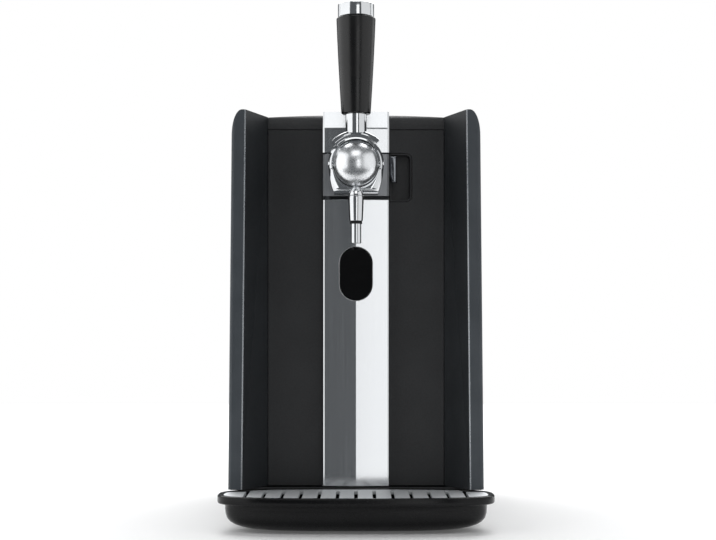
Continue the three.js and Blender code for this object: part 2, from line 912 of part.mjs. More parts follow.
function hingeBore() {
  const reach = hingeStation + 2 * knuckleWidth;
  return rodX(hingePinRadius + fit, [-reach, reach], hingeY, hingeZ);
}

function lidShell() {
  const halfInside = lidHalfWidth - lidWall;
  const insideY = [lidWall, lidLength - lidWall];
  const inside = box([-halfInside, halfInside], insideY, [lidFoot - over, lidEdge - lidWall]);
  const corners = [-1, 1].map((side) => {
    const from = side < 0 ? [-lidHalfWidth - over, -panelHalfWidth] : [panelHalfWidth, lidHalfWidth + over];
    return box(from, [-over, panelBack + fit], [lidFoot - over, bodyTop + over]);
  });
  const knuckles = [-hingeStation, hingeStation].map((x) => knuckle(x, lidLength - lidWall / 2));
  return cut(join(cut(lidOutside(0), inside, ...corners), ...knuckles), hingeBore());
}

function lidLiner() {
  const half = lidHalfWidth - lidWall - fit;
  const front = panelBack + fit + lidWall;
  const foot = gasketTop + fit;
  const plate = box([-half, half], [front, lidLength - lidWall - fit], [foot, lidEdge - lidWall - fit]);
  const plug = rodZ(plugRadius, [foot - plugDepth, foot + over], 0, chamberY, fineSteps);
  return join(plate, plug);
}

// Upper strip: it hangs in front as a tongue, creases back, and runs over the lid as a band
function lidTrim() {
  const face = -stripProud - stripRidge;
  const top = lidPeak + bandRise;
  const side = ring([
    [face - over, tongueFoot],
    [face - over, top],
    [bandLength, top],
    [bandLength, top - bandWall],
    [rollDepth, lidEdge],
    [rollDepth, lidFoot + over],
    [-fit, lidFoot + over],
    [-fit, tongueFoot],
  ]);
  const whole = prismX(side, [-stripHalfWidth, stripHalfWidth]);
  const slope = faceLean / (top - creaseHeight);
  const leaning = surface(prismZ(stripPlan(0, bandLength + over), [creaseHeight, top]));
  leaning.applyMatrix4(new THREE.Matrix4().makeShear(0, 0, 0, 0, 0, slope));
  leaning.translate(0, -slope * creaseHeight, 0);
  const upright = prismZ(stripPlan(0, bandLength + over), [tongueFoot - over, creaseHeight]);
  const plan = join(upright, solid(leaning));
  const hollow = prismZ(stripPlan(stripWall, over), [tongueFoot - over, creaseHeight - stripWall]);
  return cut(whole.intersect(plan), hollow, lidOutside(fit));
}

function lidGasket() {
  const outer = lidHalfWidth - lidWall - fit;
  const inner = outer - gasketWidth;
  const profile = [
    [inner, deckTop + fit],
    [outer, deckTop + fit],
    [outer, gasketTop],
    [inner, gasketTop],
    [inner, deckTop + fit],
  ];
  return moved(turned(profile, fineSteps), 0, chamberY, 0);
}

function topDeck() {
  const half = lidHalfWidth - deckHalfInset;
  const level = [bucketTop + fit, deckTop];
  const plate = box([-half, half], [panelBack + fit, rearFace - fit], level);
  const mouth = rodZ(chamberRadius, [bucketTop, deckTop + over], 0, chamberY, fineSteps);
  const slot = box([-slotHalfWidth, slotHalfWidth], [-over, chamberY], [bucketTop, deckTop + over]);
  return cut(plate, mouth, slot);
}

function rearTopCover() {
  const foot = deckTop + fit;
  const outside = prismY(crown(lidHalfWidth, foot), [coverFront, bodyDepth], smallSteps);
  const half = lidHalfWidth - lidWall;
  const insideY = [coverFront + lidWall, bodyDepth - lidWall];
  const inside = box([-half, half], insideY, [foot - over, lidEdge - lidWall]);
  const step = knuckleWidth + fit;
  const places = [-hingeStation - step, step - hingeStation, hingeStation - step, hingeStation + step];
  const knuckles = places.map((x) => knuckle(x, coverFront + lidWall / 2));
  return cut(join(cut(outside, inside), ...knuckles), hingeBore());
}

function lidHingePin() {
  const reach = hingeStation + knuckleWidth * 3 / 2 + fit;
  return rodX(hingePinRadius, [-reach, reach], hingeY, hingeZ);
}

// Keg chamber: metal bucket in a foam block, with a slot in front for the keg's line
function kegBucket() {
  const floor = bucketFoot + bucketWall;
  const bucket = turned([
    [0, bucketFoot],
    [bucketOuter, bucketFoot],
    [bucketOuter, bucketTop],
    [chamberRadius, bucketTop],
    [chamberRadius, floor],
    [0, floor],
  ], fineSteps);
  const slot = box([-slotHalfWidth, slotHalfWidth], [0, chamberY], [slotFoot, bucketTop + over]);
  const port = rodY(portRadius + fit, [chamberY, chamberY + bucketOuter + over], 0, bucketTop - portDrop);
  return cut(moved(bucket, 0, chamberY, 0), slot, port);
}

function insulationFoam() {
  const block = box([-foamHalfWidth, foamHalfWidth], [foamFront, foamBack], [panelFoot, bucketTop]);
  const well = rodZ(bucketOuter + fit, [bucketFoot - fit, bucketTop + over], 0, chamberY, fineSteps);
  const slot = box([-slotHalfWidth, slotHalfWidth], [0, chamberY], [slotFoot, bucketTop + over]);
  const halfWindow = coldWidth / 2 + fit;
  const windowZ = [coolingHeight - coldHeight / 2 - fit, coolingHeight + coldHeight / 2 + fit];
  const window = box([-halfWindow, halfWindow], [chamberY, foamBack + over], windowZ);
  const halfPort = portFlange + over;
  const groove = box([-halfPort, halfPort], [chamberY, foamBack + over], [
    bucketTop - portDrop - halfPort,
    bucketTop + over,
  ]);
  const ribbonHalf = ribbonWidth / 2 + over;
  const ribbonBack = panelBack + foamFront + ribbonThickness + over;
  const ribbonTop = ribbonPass + ribbonThickness + over;
  const ribbonWay = box([-ribbonHalf, ribbonHalf], [0, ribbonBack], [panelFoot - over, ribbonTop]);
  return cut(block, well, slot, window, groove, ribbonWay);
}

// Cooling unit: block against the bucket, thermoelectric chip, finned sink
function coldBlock() {
  const front = coldBack - coldReach;
  const level = [coolingHeight - coldHeight / 2, coolingHeight + coldHeight / 2];
  const block = box([-coldWidth / 2, coldWidth / 2], [front, coldBack], level);
  const seat = rodZ(bucketOuter + fit, [level[0] - over, level[1] + over], 0, chamberY, fineSteps);
  return cut(block, seat);
}

function peltierModule() {
  const half = chipWidth / 2;
  return box([-half, half], [coldBack + fit, chipBack], [coolingHeight - half, coolingHeight + half]);
}

function heatSink() {
  const half = sinkWidth / 2;
  const root = sinkFront + sinkBase;
  const pitch = (sinkWidth - sinkFinThickness) / (sinkFins - 1);
  const points = [[-half, sinkFront]];
  for (let i = 0; i < sinkFins; i += 1) {
    const x = -half + i * pitch;
    if (i > 0) points.push([x, root]);
    points.push([x, root + sinkFinLength], [x + sinkFinThickness, root + sinkFinLength]);
    if (i < sinkFins - 1) points.push([x + sinkFinThickness, root]);
  }
  points.push([half, sinkFront]);
  return prismZ(ring(points), [coolingHeight - sinkHeight / 2, coolingHeight + sinkHeight / 2]);
}

// Fan, measured from the middle of its front face
function screwPlaces() {
  const half = fanSize / 2 - screwInset;
  return [[-half, -half], [half, -half], [-half, half], [half, half]];
}

function fanFrame() {
  const half = fanSize / 2;
  const duct = rodY(fanBoreRadius, [-over, fanDepth + over], 0, 0, fineSteps);
  const frame = cut(box([-half, half], [0, fanDepth], [-half, half]), duct);
  const back = [fanDepth - mountDisc, fanDepth];
  const strutY = [fanDepth - strutThickness, fanDepth];
  const reach = fanBoreRadius + over;
  const halfStrut = strutThickness / 2;
  const acrossBar = box([-reach, reach], strutY, [-halfStrut, halfStrut]);
  const uprightBar = box([-halfStrut, halfStrut], strutY, [-reach, reach]);
  const holes = screwPlaces().map(([x, z]) => rodY(screwRadius + fit, [-over, fanDepth + over], x, z));
  return cut(join(frame, rodY(hubRadius, back, 0, 0, roundSteps), acrossBar, uprightBar), ...holes);
}

function fanImpeller() {
  const hub = rodY(hubRadius, [hubStart, hubStart + hubLength], 0, 0, roundSteps);
  const middle = hubStart + hubLength / 2;
  const blades = [];
  for (let i = 0; i < bladeCount; i += 1) {
    const length = bladeRadius + over - hubRadius / 2;
    const blade = new THREE.BoxGeometry(bladeThickness, bladeChord, length);
    blade.rotateZ(THREE.MathUtils.degToRad(bladePitch));
    blade.translate(0, middle, hubRadius / 2 + length / 2);
    blade.rotateY(2 * Math.PI * i / bladeCount);
    blades.push(solid(blade));
  }
  const limit = rodY(bladeRadius, [hubStart - fit, hubStart + hubLength], 0, 0, fineSteps);
  return join(hub, ...blades).intersect(limit);
}

function fanScrew(x, z) {
  const headBack = fanDepth + fit + rearWall;
  const headFront = headBack - screwHeadHeight;
  const shank = rodY(screwRadius, [over, headFront + over / 2], x, z);
  return join(shank, rodY(screwHeadRadius, [headFront, headBack], x, z));
}

// Rear panel: fan grille, intake slots, socket holes and recesses for the fan's screws
function rearPanel() {
  const wall = sideWall + fit;
  const round = [shoulderWidth - wall, shoulderHeight - wall];
  const shoulder = bodyTop - shoulderDrop;
  const outlineRight = roundedTop(sideHalfWidth - wall, shoulder - wall, ...round, panelFoot);
  const right = prismY(outlineRight, [rearFace, bodyDepth]);
  const through = [rearFace - over, bodyDepth + over];
  const outline = join(right, solid(mirrored(surface(right))));
  const plate = outline.intersect(box([-sideHalfWidth, sideHalfWidth], through, [panelFoot, deckTop]));
  const cuts = [];
  const rows = Math.floor((ventRadius - ventHeight) / ventPitch);
  for (let i = -rows; i <= rows; i += 1) {
    const rise = i * ventPitch;
    const half = Math.sqrt(ventRadius ** 2 - rise ** 2);
    const z = coolingHeight + rise;
    cuts.push(box([-half, half], through, [z - ventHeight / 2, z + ventHeight / 2]));
  }
  for (const side of [-1, 1]) {
    for (let i = 0; i < intakeCount; i += 1) {
      const middleX = side * intakeSetout;
      const x = [middleX - intakeLength / 2, middleX + intakeLength / 2];
      const z = intakeHeight + i * ventPitch;
      cuts.push(box(x, through, [z - ventHeight / 2, z + ventHeight / 2]));
    }
  }
  for (const [x, z] of screwPlaces()) {
    cuts.push(rodY(screwRadius + fit, through, x, coolingHeight + z));
    const seat = [bodyDepth - screwHeadHeight - fit, bodyDepth + over];
    cuts.push(rodY(screwHeadRadius + fit, seat, x, coolingHeight + z));
  }
  cuts.push(socketBox(socketX, inletWidth / 2 + fit, inletHeight / 2 + fit, through));
  cuts.push(socketBox(-socketX, switchWidth / 2 + fit, switchHeight / 2 + fit, through));
  return cut(plate, ...cuts);
}

function socketBox(x, halfWidth, halfHeight, reach) {
  return box([x - halfWidth, x + halfWidth], reach, [socketHeight - halfHeight, socketHeight + halfHeight]);
}

function powerInlet() {
  const floor = bodyDepth - inletRecess;
  const body = socketBox(socketX, inletWidth / 2, inletHeight / 2, [bodyDepth - inletDepth, bodyDepth]);
  const hollow = [inletWidth / 2 - inletWall, inletHeight / 2 - inletWall];
  const recess = socketBox(socketX, ...hollow, [floor, bodyDepth + over]);
  const pins = [[-pinSpread, -pinRise], [pinSpread, -pinRise], [0, pinRise]].map(([dx, dz]) => {
    const x = socketX + dx;
    const z = socketHeight + dz;
    const reach = [floor - over, floor + pinLength];
    return box([x - pinWidth / 2, x + pinWidth / 2], reach, [z - pinTall / 2, z + pinTall / 2]);
  });
  return join(cut(body, recess), ...pins);
}

function switchBody() {
  const body = socketBox(-socketX, switchWidth / 2, switchHeight / 2, [bodyDepth - switchDepth, bodyDepth]);
  const recess = socketBox(-socketX, switchWidth / 2 - switchWall, switchHeight / 2 - switchWall, [
    bodyDepth - switchRecess,
    bodyDepth + over,
  ]);
  return cut(body, recess);
}

// Rocker, measured from its pivot
function powerRocker() {
  const half = switchWidth / 2 - switchWall - fit;
  const outline = ring([
    [-rockerBack, -rockerHalfHeight / 2],
    [0, -rockerHalfHeight],
    [rockerNose, -rockerHalfHeight],
    [rockerWaist, 0],
    [rockerNose, rockerHalfHeight],
    [0, rockerHalfHeight],
    [-rockerBack, rockerHalfHeight / 2],
  ]);
  return prismX(outline, [-half, half]);
}

// Air pump on its shelf, with the hose to the chamber's port
function pumpY() {
  return bodyDepth - pumpSetback;
}

function pumpBracket() {
  const half = shelfWidth / 2;
  const back = rearFace - fit;
  const x = [pumpX - half, pumpX + half];
  const shelf = box(x, [back - shelfDepth, back], [pumpFoot - shelfThickness, pumpFoot]);
  const plate = box(x, [back - shelfThickness, back], [pumpFoot - over, pumpFoot + motorHeight]);
  return join(shelf, plate);
}

function airPumpMotor() {
  const foot = pumpFoot + fit;
  return rodZ(motorRadius, [foot, foot + motorHeight], pumpX, pumpY(), roundSteps);
}

function airPumpHead() {
  const foot = pumpFoot + fit + motorHeight + fit;
  const half = pumpHeadWidth / 2;
  const top = foot + pumpHeadHeight;
  const body = box([pumpX - half, pumpX + half], [pumpY() - half, pumpY() + half], [foot, top]);
  return join(body, rodZ(nippleRadius, [top - over, top + nippleHeight], pumpX, pumpY()));
}

function airTube() {
  const foot = pumpFoot + fit + motorHeight + fit + pumpHeadHeight + nippleHeight + fit;
  const portZ = bucketTop - portDrop;
  const outer = chamberY + bucketOuter + fit + portFlangeThickness + portLength / 2 + fit;
  const kneeY = foamBack + hoseShoulder;
  const points = [
    new THREE.Vector3(pumpX, pumpY(), foot),
    new THREE.Vector3(pumpX, pumpY(), foot + hoseLift / 2),
    new THREE.Vector3(pumpX * 3 / 4, (pumpY() + kneeY) / 2, portZ - hoseRadius),
    new THREE.Vector3(pumpX / 4, kneeY - hoseShoulder / 3, portZ),
    new THREE.Vector3(0, foamBack - hoseRadius, portZ),
    new THREE.Vector3(0, outer, portZ),
  ];
  return tubeAlong(points, hoseRadius, hoseSteps, hoseSides, hoseHollow);
}

function airCoupling() {
  const inner = chamberY + chamberRadius - over;
  const flangeY = chamberY + bucketOuter + fit;
  const portZ = bucketTop - portDrop;
  const stem = rodY(portRadius, [inner, flangeY + over], 0, portZ);
  const flange = rodY(portFlange, [flangeY, flangeY + portFlangeThickness], 0, portZ);
  const tail = rodY(hoseRadius, [flangeY, flangeY + portFlangeThickness + portLength / 2], 0, portZ);
  return join(stem, flange, tail);
}

// Base tub: floor, walls, a flange under the side panels, posts for the board and slots for the tray
function baseTub() {
  const back = rearFace - fit;
  const rimHalf = sideHalfWidth + sideSpread;
  const outside = box([-tubHalfWidth, tubHalfWidth], [tubFront, back], [footHeight, tubTop]);
  const flange = box([-rimHalf, rimHalf], [tubFront, bodyDepth], [tubTop - tubWall, tubTop]);
  const half = tubHalfWidth - tubWall;
  const inside = box([-half, half], [tubFront + tubWall, back - tubWall], [tubFloor, tubTop + over]);
  const postZ = [tubFloor - over, tubFloor + postHeight];
  const posts = boardPosts().map(([x, y]) => rodZ(postRadius, postZ, x, y));
  const holes = footPlaces().map(([x, y]) => rodZ(footStem + fit, [0, tubFloor + over], x, y));
  const slots = [-1, 1].map((side) => {
    const near = side * tabSetX - side * tabClear;
    const far = side * (tabSetX + tabWidth + tabClear);
    const level = [tabHeight - tabClear, tabHeight + tabThickness + tabClear];
    const through = [tubFront - over, tubFront + tubWall + over];
    return box([Math.min(near, far), Math.max(near, far)], through, level);
  });
  return cut(join(cut(join(outside, flange), inside), ...posts), ...holes, ...slots);
}

function footPlaces() {
  const front = footSetY;
  const back = bodyDepth - footSetY;
  return [[-footSetX, front], [footSetX, front], [-footSetX, back], [footSetX, back]];
}

function rubberFoot(x, y) {
  const pad = rodZ(footRadius, [0, footHeight - fit], x, y, roundSteps);
  return join(pad, rodZ(footStem, [over, tubFloor - fit], x, y));
}

function boardPosts() {
  const x = mainWidth / 2 - postInset;
  const front = mainSetback + postInset;
  const back = mainSetback + mainDepth - postInset;
  return [[-x, front], [x, front], [-x, back], [x, back]];
}

function mainTop() {
  return tubFloor + postHeight + fit + boardThickness;
}

function mainBoard() {
  const half = mainWidth / 2;
  const top = mainTop();
  const plate = box([-half, half], [mainSetback, mainSetback + mainDepth], [top - boardThickness, top]);
  const far = mainSetback + mainDepth - 2 * chipBlock;
  const chips = [-half / 2, half / 2].map((x) => {
    return box([x - chipBlock / 2, x + chipBlock / 2], [far, far + chipBlock], [top - over, top + chipRise]);
  });
  const cans = [-1, 0, 1].map((i) => {
    const x = i * 3 * capacitorRadius;
    return rodZ(capacitorRadius, [top - over, top + capacitorRise], x, far - 2 * chipBlock);
  });
  return join(plate, ...chips, ...cans);
}

function powerSupply() {
  const x = [supplyX - supplyWidth / 2, supplyX + supplyWidth / 2];
  const foot = tubFloor + fit;
  const low = box(x, [supplySetback, supplySetback + supplyDepth], [foot, foot + supplyHeight - supplyStep]);
  const high = box([x[0] + supplyStep / 2, x[1] - supplyStep / 2], [
    supplySetback + supplyStep,
    supplySetback + supplyDepth - supplyStep,
  ], [foot, foot + supplyHeight]);
  return join(low, high);
}

// Drip tray: a turned bowl whose rings are pulled into rounded rectangles
function squared(geometry, rings) {
  const place = geometry.attributes.position;
  const soft = 2 / cornerPower;
  for (let i = 0; i < place.count; i += 1) {
    const { halfWidth, halfDepth } = rings[i % rings.length];
    const angle = Math.atan2(place.getY(i), place.getX(i));
    const onAxis = halfWidth === 0;
    const [c, s] = [Math.cos(angle), Math.sin(angle)];
    place.setX(i, onAxis ? 0 : Math.sign(c) * halfWidth * Math.abs(c) ** soft);
    place.setY(i, onAxis ? 0 : Math.sign(s) * halfDepth * Math.abs(s) ** soft);
  }
  return geometry;
}

function ringAt(insetX, insetY, height) {
  return { halfWidth: trayHalfWidth - insetX, halfDepth: trayHalfDepth - insetY, height };
}

function bowlRings(wall) {
  const tall = trayRim - rimDepth - trayFoot;
  return bowlShares.map(({ height, inset }) => {
    const x = rimOverhang + inset * bowlTuck + wall;
    const y = rimOverhang + inset * bowlTuckDepth + wall;
    return ringAt(x, y, trayFoot + height * tall);
  });
}

function dripTray() {
  const under = trayRim - rimDepth;
  const shelf = trayRim - ledgeDrop;
  const inward = rimLip + ledge;
  const lifted = bowlRings(trayWall).map((each) => ({ ...each, height: each.height + trayFloor }));
  const rings = [
    { halfWidth: 0, halfDepth: 0, height: trayFoot },
    ...bowlRings(0).reverse(),
    ringAt(rimOverhang, rimOverhang, under),
    ringAt(rimRound, rimRound, under),
    ringAt(0, 0, under + rimRound),
    ringAt(0, 0, trayRim - rimRound),
    ringAt(rimRound, rimRound, trayRim),
    ringAt(rimLip, rimLip, trayRim),
    ringAt(rimLip, rimLip, shelf),
    ringAt(inward, inward, shelf),
    ...lifted,
    { halfWidth: 0, halfDepth: 0, height: trayFoot + trayFloor },
  ];
  const profile = rings.map(({ halfWidth, height }) => [halfWidth, height]);
  const bowl = solid(squared(turnedGeometry(profile, traySteps), rings));
  const rear = trayHalfDepth - tabSink;
  const tabs = [-1, 1].map((side) => {
    const x = side < 0 ? [-tabSetX - tabWidth, -tabSetX] : [tabSetX, tabSetX + tabWidth];
    const y = [rear, trayHalfDepth + tabReach];
    return box(x, y, [tabHeight, tabHeight + tabThickness]);
  });
  return moved(join(bowl, ...tabs), 0, trayY, 0);
}

function trayFootPad(side) {
  return rodZ(trayFootRadius, [0, trayFoot - fit], side * trayFootX, trayY + trayFootBack, roundSteps);
}

// Grid: slots run front to back, and its rear corners stay clear of the fins so that it lifts straight up
function dripGrid() {
  const inset = rimLip + fit;
  const [a, b] = [trayHalfWidth - inset, trayHalfDepth - inset];
  const soft = 2 / cornerPower;
  const points = [];
  for (let i = 0; i < traySteps; i += 1) {
    const angle = 2 * Math.PI * i / traySteps;
    const [c, s] = [Math.cos(angle), Math.sin(angle)];
    points.push([Math.sign(c) * a * Math.abs(c) ** soft, trayY + Math.sign(s) * b * Math.abs(s) ** soft]);
  }
  const foot = trayRim - ledgeDrop + fit;
  const level = [foot, foot + gridThickness];
  const through = [foot - over, foot + gridThickness + over];
  const front = -finReach - finClear;
  const slant = finClear * Math.hypot(1, finSlope);
  const corners = [-1, 1].map((side) => prismZ(ring([
    [side * (trayHalfWidth + over), front],
    [side * (finInner + finClear * finSlope - slant), front],
    [side * (panelEdge - slant), 0],
    [side * (trayHalfWidth + over), 0],
  ]), through));
  const middle = (gridSlots - 1) / 2;
  const pitch = slotSpanShare * trayHalfWidth / middle;
  const slots = [];
  for (let i = 0; i < gridSlots; i += 1) {
    const x = (i - middle) * pitch;
    const back = trayY + b - gridBackBar;
    const reach = trayY - b * (1 - (Math.abs(x) / a) ** cornerPower) ** (1 / cornerPower);
    slots.push(box([x - gridSlotWidth / 2, x + gridSlotWidth / 2], [reach + gridFrontBar, back], through));
  }
  return cut(prismZ(ring(points), level), ...corners, ...slots);
}

// Finishes
function finish(color, roughness, metalness) {
  return new THREE.MeshStandardMaterial({ color, roughness, metalness, side: THREE.DoubleSide });
}

const satinBlack = finish(0x2c2d30, 0.45, 0);
const mattBlack = finish(0x1f2022, 0.7, 0);
const glossBlack = finish(0x0c0c0d, 0.15, 0);
const brushedSteel = finish(0xb9bbbe, 0.35, 1);
const chrome = finish(0xd8dadd, 0.12, 1);
const satinChrome = finish(0xc4c6c9, 0.3, 1);
const castGrey = finish(0x6b6e72, 0.5, 1);
const aluminium = finish(0xa9acb0, 0.45, 1);
const rubber = finish(0x18181a, 0.9, 0);
const foam = finish(0xd9d6cc, 0.95, 0);
const ceramic = finish(0xe6e4df, 0.6, 0);
const board = finish(0x1f5b3a, 0.6, 0);
const greyPlastic = finish(0x4a4c50, 0.6, 0);
const milkyPlastic = finish(0xcfd4d6, 0.4, 0);

// Assembly: one nested group for each moving assembly
const group = new THREE.Group();

function assembly(parent, x = 0, y = 0, z = 0) {
  const made = new THREE.Group();
  made.position.set(x, y, z);
  parent.add(made);
  return made;
}

function place(parent, name, geometry, material) {
  const mesh = new THREE.Mesh(geometry, material);
  mesh.name = name;
  parent.add(mesh);
  return mesh;
}

const housing = assembly(group);
place(housing, 'side_panel_right', leaned(surface(sideShell())), satinBlack);
place(housing, 'side_panel_left', mirrored(leaned(surface(sideShell()))), satinBlack);
place(housing, 'front_panel', surface(frontPanel()), mattBlack);
place(housing, 'finger_cup', surface(fingerCup()), mattBlack);
place(housing, 'trim_strip_lower', surface(lowerStrip()), brushedSteel);
place(housing, 'tap_bridge', surface(tapBridge()), castGrey);
place(housing, 'door_hinge_pin', surface(doorHingePin()), chrome);
place(housing, 'display_window', surface(displayWindow()), glossBlack);
place(housing, 'display_board', surface(displayBoard()), board);
place(housing, 'display_cable', surface(displayCable()), greyPlastic);
place(housing, 'top_deck', surface(topDeck()), mattBlack);
place(housing, 'lid_gasket', surface(lidGasket()), rubber);
place(housing, 'rear_top_cover', surface(rearTopCover()), satinBlack);
place(housing, 'lid_hinge_pin', surface(lidHingePin()), chrome);
place(housing, 'rear_panel', leaned(surface(rearPanel())), mattBlack);
place(housing, 'power_inlet', surface(powerInlet()), glossBlack);
place(housing, 'switch_body', surface(switchBody()), glossBlack);
place(housing, 'base_tub', surface(baseTub()), mattBlack);

const footNames = ['foot_front_left', 'foot_front_right', 'foot_rear_left', 'foot_rear_right'];
footPlaces().forEach(([x, y], i) => place(housing, footNames[i], surface(rubberFoot(x, y)), rubber));

place(housing, 'keg_bucket', surface(kegBucket()), aluminium);
place(housing, 'insulation_foam', surface(insulationFoam()), foam);
place(housing, 'cold_block', surface(coldBlock()), aluminium);
place(housing, 'peltier_module', surface(peltierModule()), ceramic);
place(housing, 'heat_sink', surface(heatSink()), aluminium);
place(housing, 'pump_bracket', surface(pumpBracket()), castGrey);
place(housing, 'air_pump_motor', surface(airPumpMotor()), brushedSteel);
place(housing, 'air_pump_head', surface(airPumpHead()), greyPlastic);
place(housing, 'air_tube', surface(airTube()), milkyPlastic);
place(housing, 'air_coupling', surface(airCoupling()), greyPlastic);
place(housing, 'main_board', surface(mainBoard()), board);
place(housing, 'power_supply', surface(powerSupply()), greyPlastic);

const cooler = assembly(housing, 0, fanFront, coolingHeight);
place(cooler, 'fan_frame', surface(fanFrame()), mattBlack);
place(cooler, 'fan_impeller', surface(fanImpeller()), mattBlack);
screwPlaces().forEach(([x, z], i) => {
  place(cooler, `fan_screw_${i + 1}`, surface(fanScrew(x, z)), brushedSteel);
});

const lid = assembly(group);
place(lid, 'lid_shell', surface(lidShell()), satinBlack);
place(lid, 'lid_liner', surface(lidLiner()), greyPlastic);
place(lid, 'lid_trim', surface(lidTrim()), brushedSteel);

const door = assembly(group);
place(door, 'tap_door', surface(tapDoor()), brushedSteel);
place(door, 'tap_body', surface(tapBody()), chrome);
place(door, 'tap_ball', surface(tapBall()), satinChrome);
place(door, 'lever_axle', surface(leverAxle()), chrome);
place(door, 'spout', surface(spout()), chrome);
place(door, 'outlet_tube', surface(outletTube()), milkyPlastic);
place(door, 'nozzle', surface(nozzle()), chrome);
place(door, 'door_pull', surface(doorPull()), chrome);

const lever = assembly(door, 0, -tapReach, tapHeight);
place(lever, 'lever_yoke', surface(leverYoke()), chrome);
place(lever, 'handle_grip', surface(handleGrip()), glossBlack);
place(lever, 'handle_cap', surface(handleCap()), chrome);

const tray = assembly(group);
place(tray, 'drip_tray', surface(dripTray()), satinBlack);
place(tray, 'tray_foot_left', surface(trayFootPad(-1)), rubber);
place(tray, 'tray_foot_right', surface(trayFootPad(1)), rubber);
place(tray, 'drip_grid', surface(dripGrid()), brushedSteel);

const rocker = assembly(housing, -socketX, bodyDepth - rockerPivot, socketHeight);
rocker.rotation.x = THREE.MathUtils.degToRad(-rockerTilt);
place(rocker, 'power_rocker', surface(powerRocker()), glossBlack);

// The origin is on the table, under the middle of the whole
group.position.y = (tapReach + trayHalfDepth - bodyDepth) / 2;

export default group;
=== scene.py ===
# %% [markdown]
# A mini keg beer dispenser, dressed for the eye.
# The measured pieces were made first and packed as a fixed frame, in metres, with the front towards -Y.
# This notebook keeps every piece where it is and gives it the edges, curves and finishes of the real thing.
# The box of the measured pieces is kept now, and compared with the dressed one at the end.

# %% Load the measured pieces
import bpy
import bmesh
import json
import math
from mathutils import Matrix, Vector
from mathutils.geometry import interpolate_bezier


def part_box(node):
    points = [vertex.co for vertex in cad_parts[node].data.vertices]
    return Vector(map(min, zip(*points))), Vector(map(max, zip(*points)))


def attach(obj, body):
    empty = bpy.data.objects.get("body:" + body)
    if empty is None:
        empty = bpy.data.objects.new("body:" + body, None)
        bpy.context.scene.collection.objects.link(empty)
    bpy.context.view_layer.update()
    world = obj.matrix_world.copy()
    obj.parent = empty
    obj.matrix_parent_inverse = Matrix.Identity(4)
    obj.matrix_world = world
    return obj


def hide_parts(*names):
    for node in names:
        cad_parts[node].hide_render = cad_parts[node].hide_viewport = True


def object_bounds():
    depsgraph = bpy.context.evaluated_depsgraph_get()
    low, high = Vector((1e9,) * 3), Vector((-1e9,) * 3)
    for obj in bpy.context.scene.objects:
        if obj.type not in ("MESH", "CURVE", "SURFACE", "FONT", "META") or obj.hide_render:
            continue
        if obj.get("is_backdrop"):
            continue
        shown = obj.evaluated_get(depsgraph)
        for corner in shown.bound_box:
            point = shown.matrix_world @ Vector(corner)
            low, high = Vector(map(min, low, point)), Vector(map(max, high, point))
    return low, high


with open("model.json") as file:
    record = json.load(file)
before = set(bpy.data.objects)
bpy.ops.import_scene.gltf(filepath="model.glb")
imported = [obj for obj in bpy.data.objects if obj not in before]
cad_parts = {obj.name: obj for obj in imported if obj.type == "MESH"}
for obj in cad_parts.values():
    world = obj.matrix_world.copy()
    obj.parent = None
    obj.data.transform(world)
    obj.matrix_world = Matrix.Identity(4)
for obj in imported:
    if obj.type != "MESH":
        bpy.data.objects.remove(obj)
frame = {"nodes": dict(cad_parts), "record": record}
cad_box = [list(corner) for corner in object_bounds()]
print("pieces loaded:", len(frame["nodes"]), "box:", [[round(v, 4) for v in corner] for corner in cad_box])

# %% [markdown]
# The photograph was taken level, 182 mm above the table and about 1.65 m in front of the origin.
# Its eye line lies 68 pixels below the middle of the picture, so the lens is shifted up and not tilted:
# a tilted camera would make the upright sides of the housing lean together.
# The picture has plain contrast with a white background, so colours are shown without a film curve.

# %% Camera
photo_width = 716
axis_left_of_middle = 2  # in pixels, as the next two
eye_line_below_middle = 68
pixels_per_slope = 1565
sensor_mm = 36.0

camera_data = bpy.data.cameras.new("photo_camera")
camera_data.sensor_width = sensor_mm
camera_data.lens = pixels_per_slope / photo_width * sensor_mm
camera_data.shift_x = axis_left_of_middle / photo_width
camera_data.shift_y = eye_line_below_middle / photo_width
camera_data.clip_start = 0.05
camera_data.clip_end = 60
camera = bpy.data.objects.new("photo_camera", camera_data)
bpy.context.scene.collection.objects.link(camera)
camera.location = (0, -1.654, 0.182)
camera.rotation_euler = (math.radians(90), 0, 0)
bpy.context.scene.camera = camera
bpy.context.scene.view_settings.view_transform = "Standard"
print("lens in mm:", round(camera_data.lens, 2))

# %% [markdown]
# Colours are picked as sRGB hex values, as a paint chart gives them, while the shaders calculate in
# linear light. One function turns one into the other.
# A second function adds a node with its settings and its links, so that each finish below reads as a recipe.

# %% Colour and node helpers
def linear(hex_colour):
    channels = [int(hex_colour[i:i + 2], 16) / 255 for i in (1, 3, 5)]
    return [c / 12.92 if c <= 0.04045 else ((c + 0.055) / 1.055) ** 2.4 for c in channels] + [1.0]


def add_node(tree, kind, inputs=None, **settings):
    node = tree.nodes.new(kind)
    for key, value in settings.items():
        setattr(node, key, value)
    for socket, value in (inputs or {}).items():
        if isinstance(value, bpy.types.NodeSocket):
            tree.links.new(value, node.inputs[socket])
        else:
            node.inputs[socket].default_value = value
    return node


def start_material(name, **sockets):
    material = bpy.data.materials.new(name)
    material.use_nodes = True
    tree = material.node_tree
    shader = tree.nodes["Principled BSDF"]
    for socket, value in sockets.items():
        shader.inputs[socket.replace("_", " ")].default_value = value
    return material, tree, shader


print("black plastic, linear:", [round(c, 4) for c in linear("#1c1e20")])

